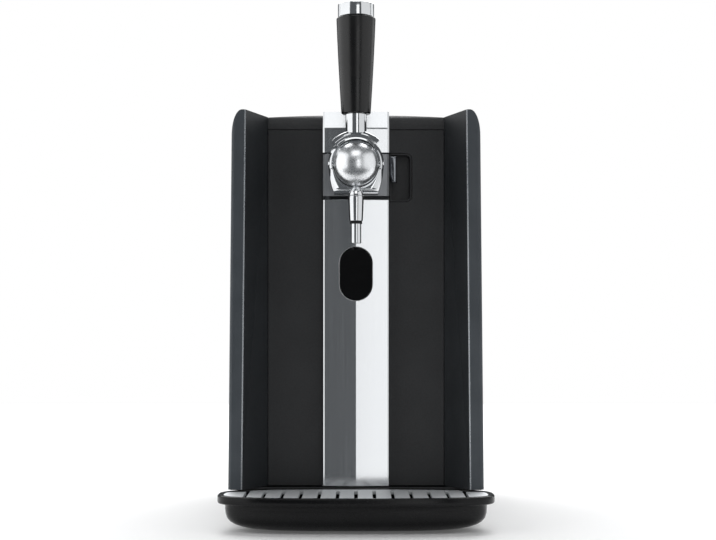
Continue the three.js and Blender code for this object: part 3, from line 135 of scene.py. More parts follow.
# %% [markdown]
# A real surface is never one colour. Two recipes cover most of this object.
# The first is an evenly grained skin: faint patches of colour some centimetres wide, and a fine grain
# that changes the gloss and the relief together, as a mould's or a casting's texture does.
# Object coordinates are in metres here, so a pattern that repeats every d mm has a scale of 1000 / d.
# The second is drawn metal: one noise, stretched along the sheet, gives scratches their colour, gloss and
# relief. Scratches blur a reflection across their own run, so the recipe also takes that direction. It
# is given in the piece's own space and turned to the world's, so it stays right when a door swings.
# Both end in the same way. Noise keeps near its middle value, so only a span round 0.5 is spread over the
# two colours and the two values of roughness.

# %% The two recipes
def finish_surface(tree, shader, tone, grain, span, hexes, gloss, relief_mm, relief_strength):
    colour = add_node(tree, "ShaderNodeValToRGB", {"Fac": tone})
    for stop, position, hex_colour in zip(colour.color_ramp.elements, span, hexes):
        stop.position = position
        stop.color = linear(hex_colour)
    rough = add_node(tree, "ShaderNodeMapRange", {"Value": grain, "From Min": span[0], "From Max": span[1],
                                                  "To Min": gloss[0], "To Max": gloss[1]})
    bump = add_node(tree, "ShaderNodeBump", {"Height": grain, "Distance": relief_mm / 1000,
                                             "Strength": relief_strength})
    tree.links.new(colour.outputs["Color"], shader.inputs["Base Color"])
    tree.links.new(rough.outputs["Result"], shader.inputs["Roughness"])
    tree.links.new(bump.outputs["Normal"], shader.inputs["Normal"])


def grained(name, hexes, patch_mm, grain_mm, gloss, relief_mm, **sockets):
    material, tree, shader = start_material(name, **sockets)
    place = add_node(tree, "ShaderNodeTexCoord").outputs["Object"]
    patches = add_node(tree, "ShaderNodeTexNoise", {"Vector": place, "Scale": 1000 / patch_mm, "Detail": 4.0})
    grain = add_node(tree, "ShaderNodeTexNoise", {"Vector": place, "Scale": 1000 / grain_mm, "Detail": 2.0})
    finish_surface(tree, shader, patches.outputs["Fac"], grain.outputs["Fac"], (0.35, 0.65), hexes, gloss,
                   relief_mm, 0.5)
    return material


def drawn(name, hexes, sizes_mm, across, gloss, relief_mm):
    material, tree, shader = start_material(name, Metallic=1.0, Anisotropic=0.6)
    blur = add_node(tree, "ShaderNodeVectorTransform", {"Vector": across}, vector_type="VECTOR",
                    convert_from="OBJECT", convert_to="WORLD")
    tree.links.new(blur.outputs["Vector"], shader.inputs["Tangent"])
    place = add_node(tree, "ShaderNodeTexCoord").outputs["Object"]
    stretched = add_node(tree, "ShaderNodeMapping", {"Vector": place, "Scale": [1000 / s for s in sizes_mm]})
    scratches = add_node(tree, "ShaderNodeTexNoise", {"Vector": stretched.outputs["Vector"], "Scale": 1.0,
                                                      "Detail": 4.0, "Roughness": 0.65}).outputs["Fac"]
    finish_surface(tree, shader, scratches, scratches, (0.3, 0.7), hexes, gloss, relief_mm, 0.4)
    return material


print("recipes: grained skin, drawn metal")

# %% [markdown]
# Moulded ABS. The housing shells come from spark-eroded moulds, which leave an even grain of about
# 0.3 mm. That is finer than a pixel of the picture, so the grain is drawn at 1.4 mm to show at all.
# The side shells are satin and carry soft highlights. The lid, the front panel and the covers are coarser
# and almost matt. The fins' fronts are painted in a lighter graphite. The narrow chamfer on their inner edge
# gets a painted highlight: a light silver paint stands in for the light that the rounded edge catches, so
# each fin ends in a fine bright line. The tray is black, smooth and reflects little.
# The handle comes from a polished mould. The window is smoked acrylic, the glossiest of all. What only
# shows when the lid or the door is open is lighter grey and left as it leaves the mould.

# %% Plastics
plastics = {
    "satin": grained("abs_moulded_satin", ("#212427", "#272a2d"), 38, 1.4, (0.38, 0.48), 0.02, IOR=1.53),
    "matt": grained("abs_moulded_matt", ("#1e1f21", "#252628"), 55, 1.8, (0.5, 0.62), 0.05, IOR=1.53),
    "painted": grained("abs_painted_graphite", ("#454a4f", "#4c5156"), 38, 1.4, (0.38, 0.48), 0.01, IOR=1.5,
                       Specular_IOR_Level=0.3),
    # the silver on the fins' inner chamfer is a painted highlight, standing in for the light the edge catches
    "edge": grained("abs_silver_painted_highlight", ("#a0a4a8", "#a8acb0"), 38, 1.4, (0.24, 0.32), 0.005, Metallic=0.8),
    "tray": grained("abs_moulded_tray", ("#08090a", "#0c0c0e"), 45, 1.4, (0.2, 0.28), 0.01, IOR=1.47,
                    Specular_IOR_Level=0.25),
    "polished": grained("abs_moulded_polished", ("#0a0a0b", "#0e0e10"), 30, 20, (0.24, 0.32), 0.01,
                        IOR=1.5),
    "grey": grained("abs_moulded_grey", ("#505356", "#5b5e61"), 30, 1.5, (0.45, 0.55), 0.03, IOR=1.53),
    "smoked": grained("acrylic_smoked", ("#040405", "#070708"), 20, 12, (0.04, 0.09), 0.002, IOR=1.49,
                      Specular_IOR_Level=0.4),
}
print("plastics:", sorted(plastics))

# %% [markdown]
# Brushed stainless steel. A belt draws fine scratches along the strip, here along Z. They are under
# 0.1 mm wide, so they are drawn 0.6 mm wide and 120 mm long. They blur reflections across the
# scratches, which anisotropy adds.
# The door is a satin casting of its own, brushed the same way but duller and darker than the strip.
# The drip grid is blasted with fine beads, so its grain has no direction and it looks evenly grey.
# Chromed zinc is nearly a mirror. Fingers and wiping leave faint smudges, seen only as changes of gloss.
# The ball is chromed over a blasted surface, so its reflections are soft. The door's pull is black chrome.
# Cast and drawn metal inside is duller: painted zinc for the bridge, drawn aluminium for the chamber.

# %% Metals
metals = {
    "strip": drawn("stainless_brushed_upright", ("#d0d2d4", "#dcdee0"), (0.6, 0.6, 120), (1, 0, 0),
                   (0.12, 0.18), 0.003),
    "door": drawn("zinc_brushed_satin", ("#9a9c9f", "#a6a8ab"), (0.6, 0.6, 120), (1, 0, 0), (0.46, 0.54),
                  0.004),
    "grid": drawn("stainless_blasted", ("#cfd1d3", "#e3e5e7"), (1.2, 1.2, 1.2), (0, 1, 0), (0.52, 0.62), 0.01),
    "aluminium": drawn("aluminium_drawn", ("#abaeb1", "#c4c7ca"), (3, 3, 60), (1, 0, 0), (0.3, 0.44), 0.02),
    "chrome": grained("zinc_chromed", ("#dcdee0", "#e2e4e6"), 25, 9, (0.05, 0.13), 0.004, Metallic=1.0),
    "ball": grained("zinc_blasted_chromed", ("#f0f2f4", "#f6f8fa"), 25, 1.2, (0.26, 0.33), 0.003,
                    Metallic=1.0),
    "black_chrome": grained("zinc_black_chromed", ("#808388", "#8a8d92"), 25, 9, (0.1, 0.18), 0.004,
                            Metallic=1.0),
    "casting": grained("zinc_cast_painted", ("#45484b", "#54575a"), 6, 1.5, (0.45, 0.55), 0.08, Metallic=0.3),
}
print("metals:", sorted(metals))

# %% [markdown]
# The rest is mostly out of sight, yet an opened lid or door shows it: pressed rubber, white alumina on
# the cooling chip, foam of swollen beads about 3 mm across, green lacquered boards with copper tracks
# under the lacquer, and a milky hose that lets some light in.

# %% Other stuffs
def polystyrene_beads():
    material, tree, shader = start_material("polystyrene_beads", Roughness=0.9, IOR=1.5)
    place = add_node(tree, "ShaderNodeTexCoord").outputs["Object"]
    beads = add_node(tree, "ShaderNodeTexVoronoi", {"Vector": place, "Scale": 1000 / 3})
    colour = add_node(tree, "ShaderNodeValToRGB", {"Fac": beads.outputs["Distance"]})
    colour.color_ramp.elements[0].color = linear("#e6e4dc")
    colour.color_ramp.elements[1].color = linear("#cfccc2")
    bump = add_node(tree, "ShaderNodeBump", {"Height": beads.outputs["Distance"], "Distance": 0.0004,
                                             "Strength": 0.6}, invert=True)
    tree.links.new(colour.outputs["Color"], shader.inputs["Base Color"])
    tree.links.new(bump.outputs["Normal"], shader.inputs["Normal"])
    return material


def lacquered_board():
    material, tree, shader = start_material("glass_fibre_lacquered", Roughness=0.3, IOR=1.5, Coat_Weight=0.5,
                                            Coat_Roughness=0.1)
    place = add_node(tree, "ShaderNodeTexCoord").outputs["Object"]
    tracks = add_node(tree, "ShaderNodeTexBrick", {"Vector": place, "Scale": 1000 / 9, "Mortar Size": 0.03,
                                                   "Color1": linear("#1b5635"), "Color2": linear("#226540"),
                                                   "Mortar": linear("#3c8a5a")})
    tree.links.new(tracks.outputs["Color"], shader.inputs["Base Color"])
    return material


others = {
    "rubber": grained("rubber_pressed", ("#141517", "#1d1e20"), 8, 1, (0.8, 0.9), 0.05, IOR=1.52),
    "ceramic": grained("alumina_fired", ("#e1dfd8", "#efede8"), 4, 0.8, (0.4, 0.5), 0.01, IOR=1.76),
    "hose": grained("pvc_extruded_milky", ("#d2d6d6", "#e2e5e5"), 12, 3, (0.25, 0.35), 0.01, IOR=1.42,
                    Subsurface_Weight=0.3, Subsurface_Scale=0.003),
    "beads": polystyrene_beads(),
    "board": lacquered_board(),
}
print("other stuffs:", sorted(others))

# %% [markdown]
# Every measured piece gets the finish of its own stuff. The list below names each one once, so a
# piece that was forgotten stops the script here.

# %% Which piece is made of what
made_of = {
    plastics["satin"]: "side_panel_right side_panel_left",
    plastics["matt"]: "front_panel finger_cup lid_shell rear_top_cover top_deck rear_panel base_tub "
                      "fan_frame fan_impeller",
    plastics["tray"]: "drip_tray",
    plastics["polished"]: "power_inlet switch_body power_rocker handle_grip",
    plastics["smoked"]: "display_window",
    plastics["grey"]: "lid_liner display_cable air_pump_head air_coupling power_supply",
    metals["strip"]: "trim_strip_lower lid_trim air_pump_motor",
    metals["door"]: "tap_door",
    metals["grid"]: "drip_grid",
    metals["casting"]: "tap_bridge pump_bracket",
    metals["chrome"]: "door_hinge_pin lid_hinge_pin tap_body lever_axle spout nozzle lever_yoke handle_cap "
                      "fan_screw_1 fan_screw_2 fan_screw_3 fan_screw_4",
    metals["black_chrome"]: "door_pull",
    metals["ball"]: "tap_ball",
    metals["aluminium"]: "keg_bucket cold_block heat_sink",
    others["rubber"]: "lid_gasket tray_foot_left tray_foot_right foot_front_left foot_front_right "
                      "foot_rear_left foot_rear_right",
    others["beads"]: "insulation_foam",
    others["ceramic"]: "peltier_module",
    others["board"]: "display_board main_board",
    others["hose"]: "outlet_tube air_tube",
}
finishes = {node: material for material, nodes in made_of.items() for node in nodes.split()}
for name, node in frame["nodes"].items():
    node.data.materials.clear()
    node.data.materials.append(finishes[name])
print("finished nodes:", len(frame["nodes"]), "without one:", sorted(set(frame["nodes"]) - set(finishes)))

# %% [markdown]
# A new piece always ends the same way: its mesh goes into an object at the origin, rides on the body
# of the measured piece that it stands for, hides that one unless it is only added beside it, and takes its
# finish and its slot.

# %% Adding a finished piece
bodies_of = {n: body for body, names in frame["record"]["behaviour"]["bodies"].items() for n in names}


def add_piece(name, bm, node, replace=True, crease_degrees=32):
    mesh = bpy.data.meshes.new(name)
    bm.to_mesh(mesh)
    bm.free()
    mesh.polygons.foreach_set("use_smooth", [True] * len(mesh.polygons))
    mesh.set_sharp_from_angle(angle=math.radians(crease_degrees))
    piece = bpy.data.objects.new(name, mesh)
    bpy.context.scene.collection.objects.link(piece)
    mesh.materials.append(finishes[node])
    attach(piece, bodies_of[node])
    if replace:
        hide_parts(node)
    return piece


# %% [markdown]
# A sharp edge never catches the light, and nothing moulded or pressed has one. Each plain shell keeps
# its shape and gets a small round on its edges: a copy of its mesh is merged, its flat faces are
# joined, and a Bevel modifier rounds what is left. Moulded parts have about 0.6 mm, sheet about 0.3 mm.
# Two kinds get a little more. The strip's pieces have flatter chamfers down their sides, so that each
# mirrors the wall of light beside it, and a soft bend where the strip leans back over the lid.
# The faces at the fins' fronts are marked for their two paints: 1 is graphite, 2 the silver inner chamfer, which
# is a painted highlight.

# %% Rounding the edges of the plain shells
fins = ("side_panel_left", "side_panel_right")
fin_front_y = -0.145
trims = ("trim_strip_lower", "lid_trim")
chamfer_rim_x, chamfer_forward = 0.0322, 0.0008
bend_z, bend_y, bend_round = 0.388, -0.116, 0.0018


def soften_trim(bm):
    chamfers = [f for f in bm.faces if abs(abs(f.normal.x) - 0.7) < 0.03 and f.normal.y < -0.6]
    for v in {v for f in chamfers for v in f.verts if abs(v.co.x) > chamfer_rim_x}:
        v.co.y -= chamfer_forward
    bend = [e for e in bm.edges if all(abs(v.co.z - bend_z) < 1e-5 and v.co.y < bend_y for v in e.verts)]
    bmesh.ops.bevel(bm, geom=bend, offset=bend_round, offset_type="OFFSET", affect="EDGES", segments=4,
                    profile=0.5, material=-1)


def mark_fin(bm):
    for face in bm.faces:
        middle = face.calc_center_median()
        outward = face.normal.x * middle.x > 0
        if middle.y < fin_front_y and (face.normal.y < -0.6 or outward):
            # slot 2, the silver chamfer, carries a painted highlight
            face.material_index = 1 if face.normal.y < -0.8 or outward else 2


def rounded_copy(node, round_mm, crease_degrees=32):
    bm = bmesh.new()
    bm.from_mesh(frame["nodes"][node].data)
    bmesh.ops.remove_doubles(bm, verts=bm.verts, dist=0.00001)
    bmesh.ops.dissolve_limit(bm, angle_limit=math.radians(0.6), verts=bm.verts, edges=bm.edges)
    if node in trims:
        soften_trim(bm)
    if node in fins:
        mark_fin(bm)
    piece = add_piece(node + "_rounded", bm, node, crease_degrees=crease_degrees)
    rounding = piece.modifiers.new("edge_round", "BEVEL")
    rounding.width = round_mm / 1000
    rounding.segments = 2
    rounding.limit_method = "ANGLE"
    rounding.angle_limit = math.radians(crease_degrees)
    rounding.harden_normals = True
    return piece


roundings_mm = {
    "lid_shell": 0.6, "rear_top_cover": 0.6,
    "front_panel": 0.4, "finger_cup": 0.4, "top_deck": 0.4, "rear_panel": 0.3, "base_tub": 0.6,
    "trim_strip_lower": 0.6, "tap_door": 0.5, "tap_bridge": 0.5,
    "display_window": 0.4, "drip_grid": 0.35, "keg_bucket": 0.4, "lid_liner": 0.8, "power_rocker": 0.4,
    "switch_body": 0.3, "power_inlet": 0.3, "lid_gasket": 0.6,
}
for node, round_mm in roundings_mm.items():
    rounded_copy(node, round_mm)
for node in fins:
    panel = rounded_copy(node, 0.3, crease_degrees=14)
    panel.data.materials.append(plastics["painted"])
    # the silver chamfer finish is a painted highlight
    panel.data.materials.append(plastics["edge"])
rounded_copy("lid_trim", 0.3, crease_degrees=12)
print("shells rounded:", len(roundings_mm) + len(fins) + 1)

# %% [markdown]
# Behind, each side shell turns in at its upper corner and closes the small opening between the rear panel,
# the rear cover and its own rounded shoulder. The web is moulded with the shell, so it has the shell's
# plastic. Its outline follows the shoulder's ellipse, half a millimetre into the wall, and is extruded.

# %% Webs in the rear corners
web_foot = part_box("rear_panel")[1].z - 0.001
web_inner_x, wall_middle_x, shell_top = 0.09795, 0.1172, 0.3979
shoulder_wide, shoulder_high = 0.0075, 0.0235
web_rear_y, web_thickness = 0.2214, 0.0025

lowest = math.asin((web_foot - shell_top + shoulder_high) / shoulder_high)
shoulder = [(wall_middle_x - shoulder_wide + shoulder_wide * math.cos(a),
             shell_top - shoulder_high + shoulder_high * math.sin(a))
            for a in [lowest + (math.pi / 2 - lowest) * i / 12 for i in range(13)]]
web_outline = [(web_inner_x, web_foot)] + shoulder + [(web_inner_x, shell_top)]
for side, name, node in ((-1, "rear_web_left", "side_panel_left"), (1, "rear_web_right", "side_panel_right")):
    bm = bmesh.new()
    web = bm.faces.new([bm.verts.new((side * x, web_rear_y, z)) for x, z in web_outline])
    made = bmesh.ops.extrude_face_region(bm, geom=[web])
    bmesh.ops.translate(bm, verts=[v for v in made["geom"] if isinstance(v, bmesh.types.BMVert)],
                        vec=(0, -web_thickness, 0))
    bmesh.ops.recalc_face_normals(bm, faces=bm.faces)
    add_piece(name, bm, node, replace=False)
print("webs closed above:", round(web_foot, 4))

# %% [markdown]
# The tap and its handle are turned and cast pieces. Two helpers shape most of them.
# Spin turns a profile of radius and height about an upright axis, as a lathe does. Bevel then rounds every
# edge that is sharper than a limit. All heights are in mm from the centre of the tap's ball.

# %% Lathe and rounding helpers
ball_centre = Vector((0, -0.172, 0.347))


def turn(bm, profile_mm, steps=64):
    points = [ball_centre + Vector((radius, 0, height)) / 1000 for radius, height in profile_mm]
    verts = [bm.verts.new(point) for point in points]
    edges = [bm.edges.new(pair) for pair in zip(verts, verts[1:])]
    bmesh.ops.spin(bm, geom=verts + edges, cent=ball_centre, axis=(0, 0, 1), angle=2 * math.pi,
                   steps=steps, use_merge=True)


def close(bm):
    bmesh.ops.remove_doubles(bm, verts=bm.verts, dist=0.000002)
    bmesh.ops.recalc_face_normals(bm, faces=bm.faces)


def soften(bm, round_mm, over_degrees=25, segments=3):
    sharp = [e for e in bm.edges if len(e.link_faces) == 2
             and e.calc_face_angle() > math.radians(over_degrees)]
    bmesh.ops.bevel(bm, geom=sharp, offset=round_mm / 1000, offset_type="OFFSET", affect="EDGES",
                    segments=segments, profile=0.5, material=-1, clamp_overlap=True)


print("ball centre:", [round(v, 4) for v in ball_centre])

# %% [markdown]
# The grip is a long tapering knob of polished black plastic, a little fuller in its middle than a straight
# cone. The cap on it is a short chromed cylinder with a rounded rim and a slightly domed top.
# A profile with few points is turned, and the bevel gives the rims their real rounds.

# %% Handle grip and cap
bm = bmesh.new()
turn(bm, [(0, 46.8), (13.9, 46.8), (15.3, 70), (16.7, 95), (17.8, 118), (18.6, 137.9), (0, 137.9)], 72)
close(bm)
soften(bm, 1.6, 40, 4)
grip = add_piece("grip_turned", bm, "handle_grip")

bm = bmesh.new()
turn(bm, [(0, 138.2), (17.1, 138.2), (17.1, 151.0), (0, 151.4)], 72)
close(bm)
soften(bm, 1.2, 40, 4)
cap = add_piece("cap_turned", bm, "handle_cap")
print("grip faces:", len(grip.data.polygons), "cap faces:", len(cap.data.polygons))

# %% [markdown]
# The ball is a dome: flatter than a ball in front, with a short straight rim where it sits in the neck. So
# nearly all of it mirrors the lamps, and only a narrow edge the ring round it. No point of it is more than
# 22.2 mm from its centre, because the lever's ring swings past it at 22.6 mm.
# A sphere operator would give the wrong shape, so half an outline is drawn and spun about the axis that
# runs from front to back.

# %% Ball
ball_front_mm = 21
dome_radius_mm = 23.75
dome_angles = [math.radians(52.5) * i / 16 for i in range(17)]
outline_mm = [(dome_radius_mm * math.sin(a), dome_radius_mm * (1 - math.cos(a)) - ball_front_mm)
              for a in dome_angles]
outline_mm += [(20.1, -9.2), (20.75, -7.5), (21.0, -6.2), (21.0, 5.7), (0, 5.7)]
bm = bmesh.new()
verts = [bm.verts.new(ball_centre + Vector((radius, depth, 0)) / 1000) for radius, depth in outline_mm]
edges = [bm.edges.new(pair) for pair in zip(verts, verts[1:])]
bmesh.ops.spin(bm, geom=verts + edges, cent=ball_centre, axis=(0, 1, 0), angle=2 * math.pi, steps=96,
               use_merge=True)
close(bm)
ball = add_piece("ball_blasted", bm, "tap_ball")
print("ball faces:", len(ball.data.polygons))

# %% [markdown]
# The neck stands out from the door and carries the ball. Seen from the front it is a shield: round above,
# with drawn-in sides and a straight foot. Round its small front face runs a wide sloping flank, which
# mirrors the lamps as two bright bands beside the ball. Such a casting narrows towards its front so that
# it leaves the die. Its outline is drawn three times, from a half circle and two curves, and bridged.

# %% Neck outlines and flank
face_y, shoulder_y, door_y = -0.1658, -0.1613, -0.1193


def shield(radius_mm, foot_mm, y):
    arc = [Vector((radius_mm * math.cos(a), 0, radius_mm * math.sin(a)))
           for a in [math.pi * i / 40 for i in range(41)]]
    side = interpolate_bezier(Vector((-radius_mm, 0, 0)), Vector((-0.98 * radius_mm, 0, 0.4 * foot_mm[1])),
                              Vector((-0.5 * radius_mm - 0.5 * foot_mm[0], 0, 0.8 * foot_mm[1])),
                              Vector((-foot_mm[0], 0, foot_mm[1])), 8)
    points = arc + side[1:] + [Vector((-p.x, 0, p.z)) for p in reversed(side)][:-1]
    verts = [bm.verts.new(Vector((0, y, ball_centre.z)) + p / 1000) for p in points]
    return [bm.edges.new(pair) for pair in zip(verts, verts[1:] + verts[:1])]


bm = bmesh.new()
loops = [shield(23.0, (14.5, -24.0), face_y), shield(26.5, (21.4, -25.4), shoulder_y),
         shield(26.5, (21.4, -25.4), door_y)]
bmesh.ops.bridge_loops(bm, edges=loops[0] + loops[1])
bmesh.ops.bridge_loops(bm, edges=loops[1] + loops[2])
bmesh.ops.edgeloop_fill(bm, edges=loops[2])
print("neck outline points:", len(loops[0]), "faces so far:", len(bm.faces))

# %% [markdown]
# The front face is filled between its outline and a hole, and the hole's rim is pressed in as the seat that
# rings the ball with a fine shadow. Then the casting's edges are rounded. Above the door its back leans
# forward, so that the lid's tongue swings past it. A turned lug below takes the spout, and a small block
# behind the lug, its heel, joins it to the neck's foot.

# %% Seat for the ball, rounded edges, lean of the back, lug and heel
seat_radius, seat_depth = 0.0216, 0.004
door_top, neck_top, neck_lean, back_band = 0.3624, 0.3735, 0.002, 0.0008
heel_middle, heel_size = (0, -0.1635, 0.3215), (0.009, 0.013, 0.0085, 1)

hole = bmesh.ops.create_circle(bm, segments=96, radius=seat_radius, matrix=Matrix.Translation(
    (0, face_y, ball_centre.z)) @ Matrix.Rotation(math.radians(90), 4, "X"))["verts"]
hole_rim = list({e for v in hole for e in v.link_edges})
bmesh.ops.triangle_fill(bm, use_beauty=True, use_dissolve=False, edges=loops[0] + hole_rim)
pressed = bmesh.ops.extrude_edge_only(bm, edges=hole_rim)["geom"]
bmesh.ops.translate(bm, verts=[v for v in pressed if isinstance(v, bmesh.types.BMVert)],
                    vec=(0, seat_depth, 0))
bmesh.ops.edgeloop_fill(bm, edges=[e for e in pressed if isinstance(e, bmesh.types.BMEdge)])
close(bm)
soften(bm, 0.6, 24)
for v in bm.verts:
    share = (v.co.z - door_top) / (neck_top - door_top)
    if share > 0 and v.co.y > door_y - back_band:
        v.co.y -= neck_lean * share
turn(bm, [(0, -20.8), (2.4, -21.2), (4.4, -23.0), (5.9, -25.6), (6.9, -28.2), (7.2, -30), (0, -30)], 48)
bmesh.ops.create_cube(bm, size=1, matrix=Matrix.Translation(heel_middle) @ Matrix.Diagonal(heel_size))
close(bm)
neck = add_piece("neck_cast", bm, "tap_body", crease_degrees=40)
print("neck faces:", len(neck.data.polygons))

# %% [markdown]
# The spout is a turned tube, a little narrower below, and the nozzle slides into it from underneath. A
# black rubber ring seals the two. Each is one closed profile with its bore, turned all the way round.
# The profiles run down the outside and up the bore, so the turned walls have their real thickness.

# %% Spout, seal ring and nozzle
bm = bmesh.new()
turn(bm, [(7.2, -30.3), (7.4, -33), (7.0, -44), (6.5, -54.3), (5.3, -54.3), (5.3, -45), (3.2, -44.4),
          (3.2, -30.3), (7.2, -30.3)], 56)
close(bm)
soften(bm, 0.45, 40, 3)
spout = add_piece("spout_turned", bm, "spout")

bm = bmesh.new()
turn(bm, [(5.0, -45.3), (5.0, -75.3), (3.8, -75.3), (3.8, -45.3), (5.0, -45.3)], 48)
close(bm)
soften(bm, 0.4, 40, 3)
nozzle = add_piece("nozzle_drawn", bm, "nozzle")

bm = bmesh.new()
turn(bm, [(5.9, -54.4), (5.9, -57), (5.03, -57), (5.03, -54.4), (5.9, -54.4)], 48)
close(bm)
soften(bm, 0.35, 40, 3)
seal = add_piece("nozzle_seal", bm, "nozzle", replace=False)
seal.data.materials[0] = others["rubber"]
print("spout, nozzle and seal faces:", [len(o.data.polygons) for o in (spout, nozzle, seal)])

# %% [markdown]
# The lever is one casting. A half ring lies round the ball and turns on it with an eye at each end. A hood
# with two grooves in its front sits on the ring's crown, and a round stem rises from it into the grip.
# Ring and hood slope outwards in front, so they mirror the lamps as bright crescents with dark grooves
# between. Both sections are drawn beside the ball and spun about the axis that runs from front to back.
# An eye is a short cone on its side, which widens inwards to meet the ring.

# %% Lever: half ring, hood, stem and eyes
def sweep(bm, section_mm, from_degrees, to_degrees, steps):
    turned = Matrix.Rotation(-math.radians(from_degrees), 3, "Y")
    corners = [bm.verts.new(ball_centre + turned @ Vector((radius, depth, 0)) / 1000)
               for radius, depth in section_mm]
    bmesh.ops.spin(bm, geom=corners + [bm.faces.new(corners)], cent=ball_centre, axis=(0, -1, 0),
                   angle=math.radians(to_degrees - from_degrees), steps=steps)


ring_section = [(26.3, 3.6), (22.6, 3.6), (22.6, -5.2), (22.9, -5.6), (23.2, -5.6), (26.1, -2.6), (26.3, -2.1)]
hood_section = [
    (31, 10), (27, 10), (27, 4.5), (22.6, 4.5), (22.6, -7.6), (22.9, -8), (24.3, -7.4), (24.3, -6),
    (24.9, -6), (24.9, -7.9), (26.7, -7.6), (26.7, -6), (27.3, -6), (27.3, -7.9), (27.6, -8), (30.2, -6.9),
    (30.8, -6.3), (31, -5.6),
]
eye_inner, eye_outer, eye_length, eye_x = 0.0054, 0.0028, 0.0037, 0.02445

bm = bmesh.new()
sweep(bm, ring_section, -11, 191, 72)
sweep(bm, hood_section, 43.8, 136.2, 40)
turn(bm, [(0, 28.5), (10, 28.5), (10, 46.5), (0, 46.5)], 56)
for side in (-1, 1):
    bmesh.ops.create_cone(bm, cap_ends=True, segments=40, radius1=eye_inner, radius2=eye_outer,
                          depth=eye_length, matrix=Matrix.Translation(ball_centre + Vector((side * eye_x, 0, 0)))
                          @ Matrix.Rotation(math.radians(90 * side), 4, "Y"))
close(bm)
lever = add_piece("lever_cast", bm, "lever_yoke")
print("lever faces:", len(lever.data.polygons))

# %% [markdown]
# The pull on the door's right edge is a small half-round bar of black chrome, cut away below on the side
# towards the door. Its rounded front mirrors the tall lamp as one thin bright stripe.
# A block is extruded from its outline, and a wide bevel rounds its front.

# %% Door pull
low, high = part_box("door_pull")
width, height = high.x - low.x, high.z - low.z
pull_outline = [(low.x, low.z + 0.3 * height), (low.x + width / 3, low.z), (high.x, low.z), (high.x, high.z),
                (low.x, high.z)]
bm = bmesh.new()
front = bm.faces.new([bm.verts.new((x, low.y, z)) for x, z in pull_outline])
made = bmesh.ops.extrude_face_region(bm, geom=[front])
bmesh.ops.translate(bm, verts=[v for v in made["geom"] if isinstance(v, bmesh.types.BMVert)],
                    vec=(0, high.y - low.y, 0))
close(bm)
front_rim = [e for e in bm.edges if all(abs(v.co.y - low.y) < 1e-6 for v in e.verts)]
bmesh.ops.bevel(bm, geom=front_rim, offset=0.0026, offset_type="OFFSET", affect="EDGES", segments=6,
                profile=0.5, material=-1)
pull = add_piece("door_pull_rounded", bm, "door_pull")
print("pull faces:", len(pull.data.polygons))

# %% [markdown]
# The drip tray is one deep moulding. In plan it is a rounded rectangle with flattened sides, the curve of
# a superellipse. Its rim is a rounded bead over a tucked-in bowl that turns under in one soft sweep.
# It starts as a circle, which is pressed into that curve. Each next ring is extruded from the last and
# scaled to its own size, from the middle of the underside, up the outside, over the rim and down the inside.
# Two flat tongues at its back slip under the housing.

# %% Drip tray
tray_centre = Vector((0, -0.172, 0))
tray_half_mm = (130.75, 50.0)
corner_power = 3.0
outer_rings = [  # inset in x, inset in y, height, all in mm
    (40.0, 21.0, 2.5), (29.0, 16.4, 3.6), (22.0, 14.0, 5.1), (16.0, 11.3, 7.1), (11.8, 9.2, 9.6),
    (8.9, 7.9, 13.0), (7.5, 7.3, 17.5), (7.1, 7.1, 22.0), (7.1, 7.1, 26.0), (6.4, 6.4, 26.8),
]
rim_rings = [
    (1.8, 1.8, 26.8), (0.9, 0.9, 27.04), (0.24, 0.24, 27.7), (0, 0, 28.6), (0, 0, 33.0), (0.24, 0.24, 33.9),
    (0.9, 0.9, 34.56), (1.8, 1.8, 34.8), (4.9, 4.9, 34.8), (5.35, 5.35, 34.6), (5.5, 5.5, 34.2),
    (5.5, 5.5, 30.9), (10.7, 10.7, 30.9), (11.0, 11.0, 30.6),
]
inner_rings = [(x + 3.9, y + 3.2, z + 3.0) for x, y, z in reversed(outer_rings[:-2])]

bm = bmesh.new()
ring = bmesh.ops.create_circle(bm, segments=160, radius=1, matrix=Matrix.Translation(tray_centre))["verts"]
for v in ring:
    reach = v.co - tray_centre
    length = (abs(reach.x) ** corner_power + abs(reach.y) ** corner_power) ** (1 / corner_power)
    v.co = tray_centre + reach / length
edges = list({e for v in ring for e in v.link_edges})
bmesh.ops.edgeloop_fill(bm, edges=edges)
from_centre = Matrix.Translation(-tray_centre)
last = Vector((1000, 1000, 0))  # the circle's own size in mm
for inset_x, inset_y, height in outer_rings + rim_rings + inner_rings:
    size = Vector((tray_half_mm[0] - inset_x, tray_half_mm[1] - inset_y, height))
    if last.z > 0:
        made = bmesh.ops.extrude_edge_only(bm, edges=edges)["geom"]
        edges = [e for e in made if isinstance(e, bmesh.types.BMEdge)]
        ring = [v for v in made if isinstance(v, bmesh.types.BMVert)]
    bmesh.ops.scale(bm, verts=ring, vec=(size.x / last.x, size.y / last.y, 1), space=from_centre)
    bmesh.ops.translate(bm, verts=ring, vec=(0, 0, (size.z - last.z) / 1000))
    last = size
bmesh.ops.edgeloop_fill(bm, edges=edges)
tongue_size = (0.02, 0.036, 0.004, 1)
for side in (-1, 1):
    bmesh.ops.create_cube(bm, size=1, matrix=Matrix.Translation((side * 0.055, -0.118, 0.014))
                          @ Matrix.Diagonal(tongue_size))
close(bm)
tray = add_piece("tray_moulded", bm, "drip_tray", crease_degrees=45)
print("tray faces:", len(tray.data.polygons), "box:", [round(v, 4) for v in tray.dimensions])

# %% [markdown]
# The floor is a pale table covered with pressed paper. Behind the dispenser the picture is white, so the
# table runs on into a white world. Only the camera sees that white: the metal mirrors a dim grey room
# instead, which keeps the dark halves of the strip and the ball dark. The table ends 16 cm in front of the
# tray, or the lower half of every mirror would show a bright floor that the photograph doesn't have.
# The paper also glows very little, as it does on a table lit from below, which lifts the tray's shadow.

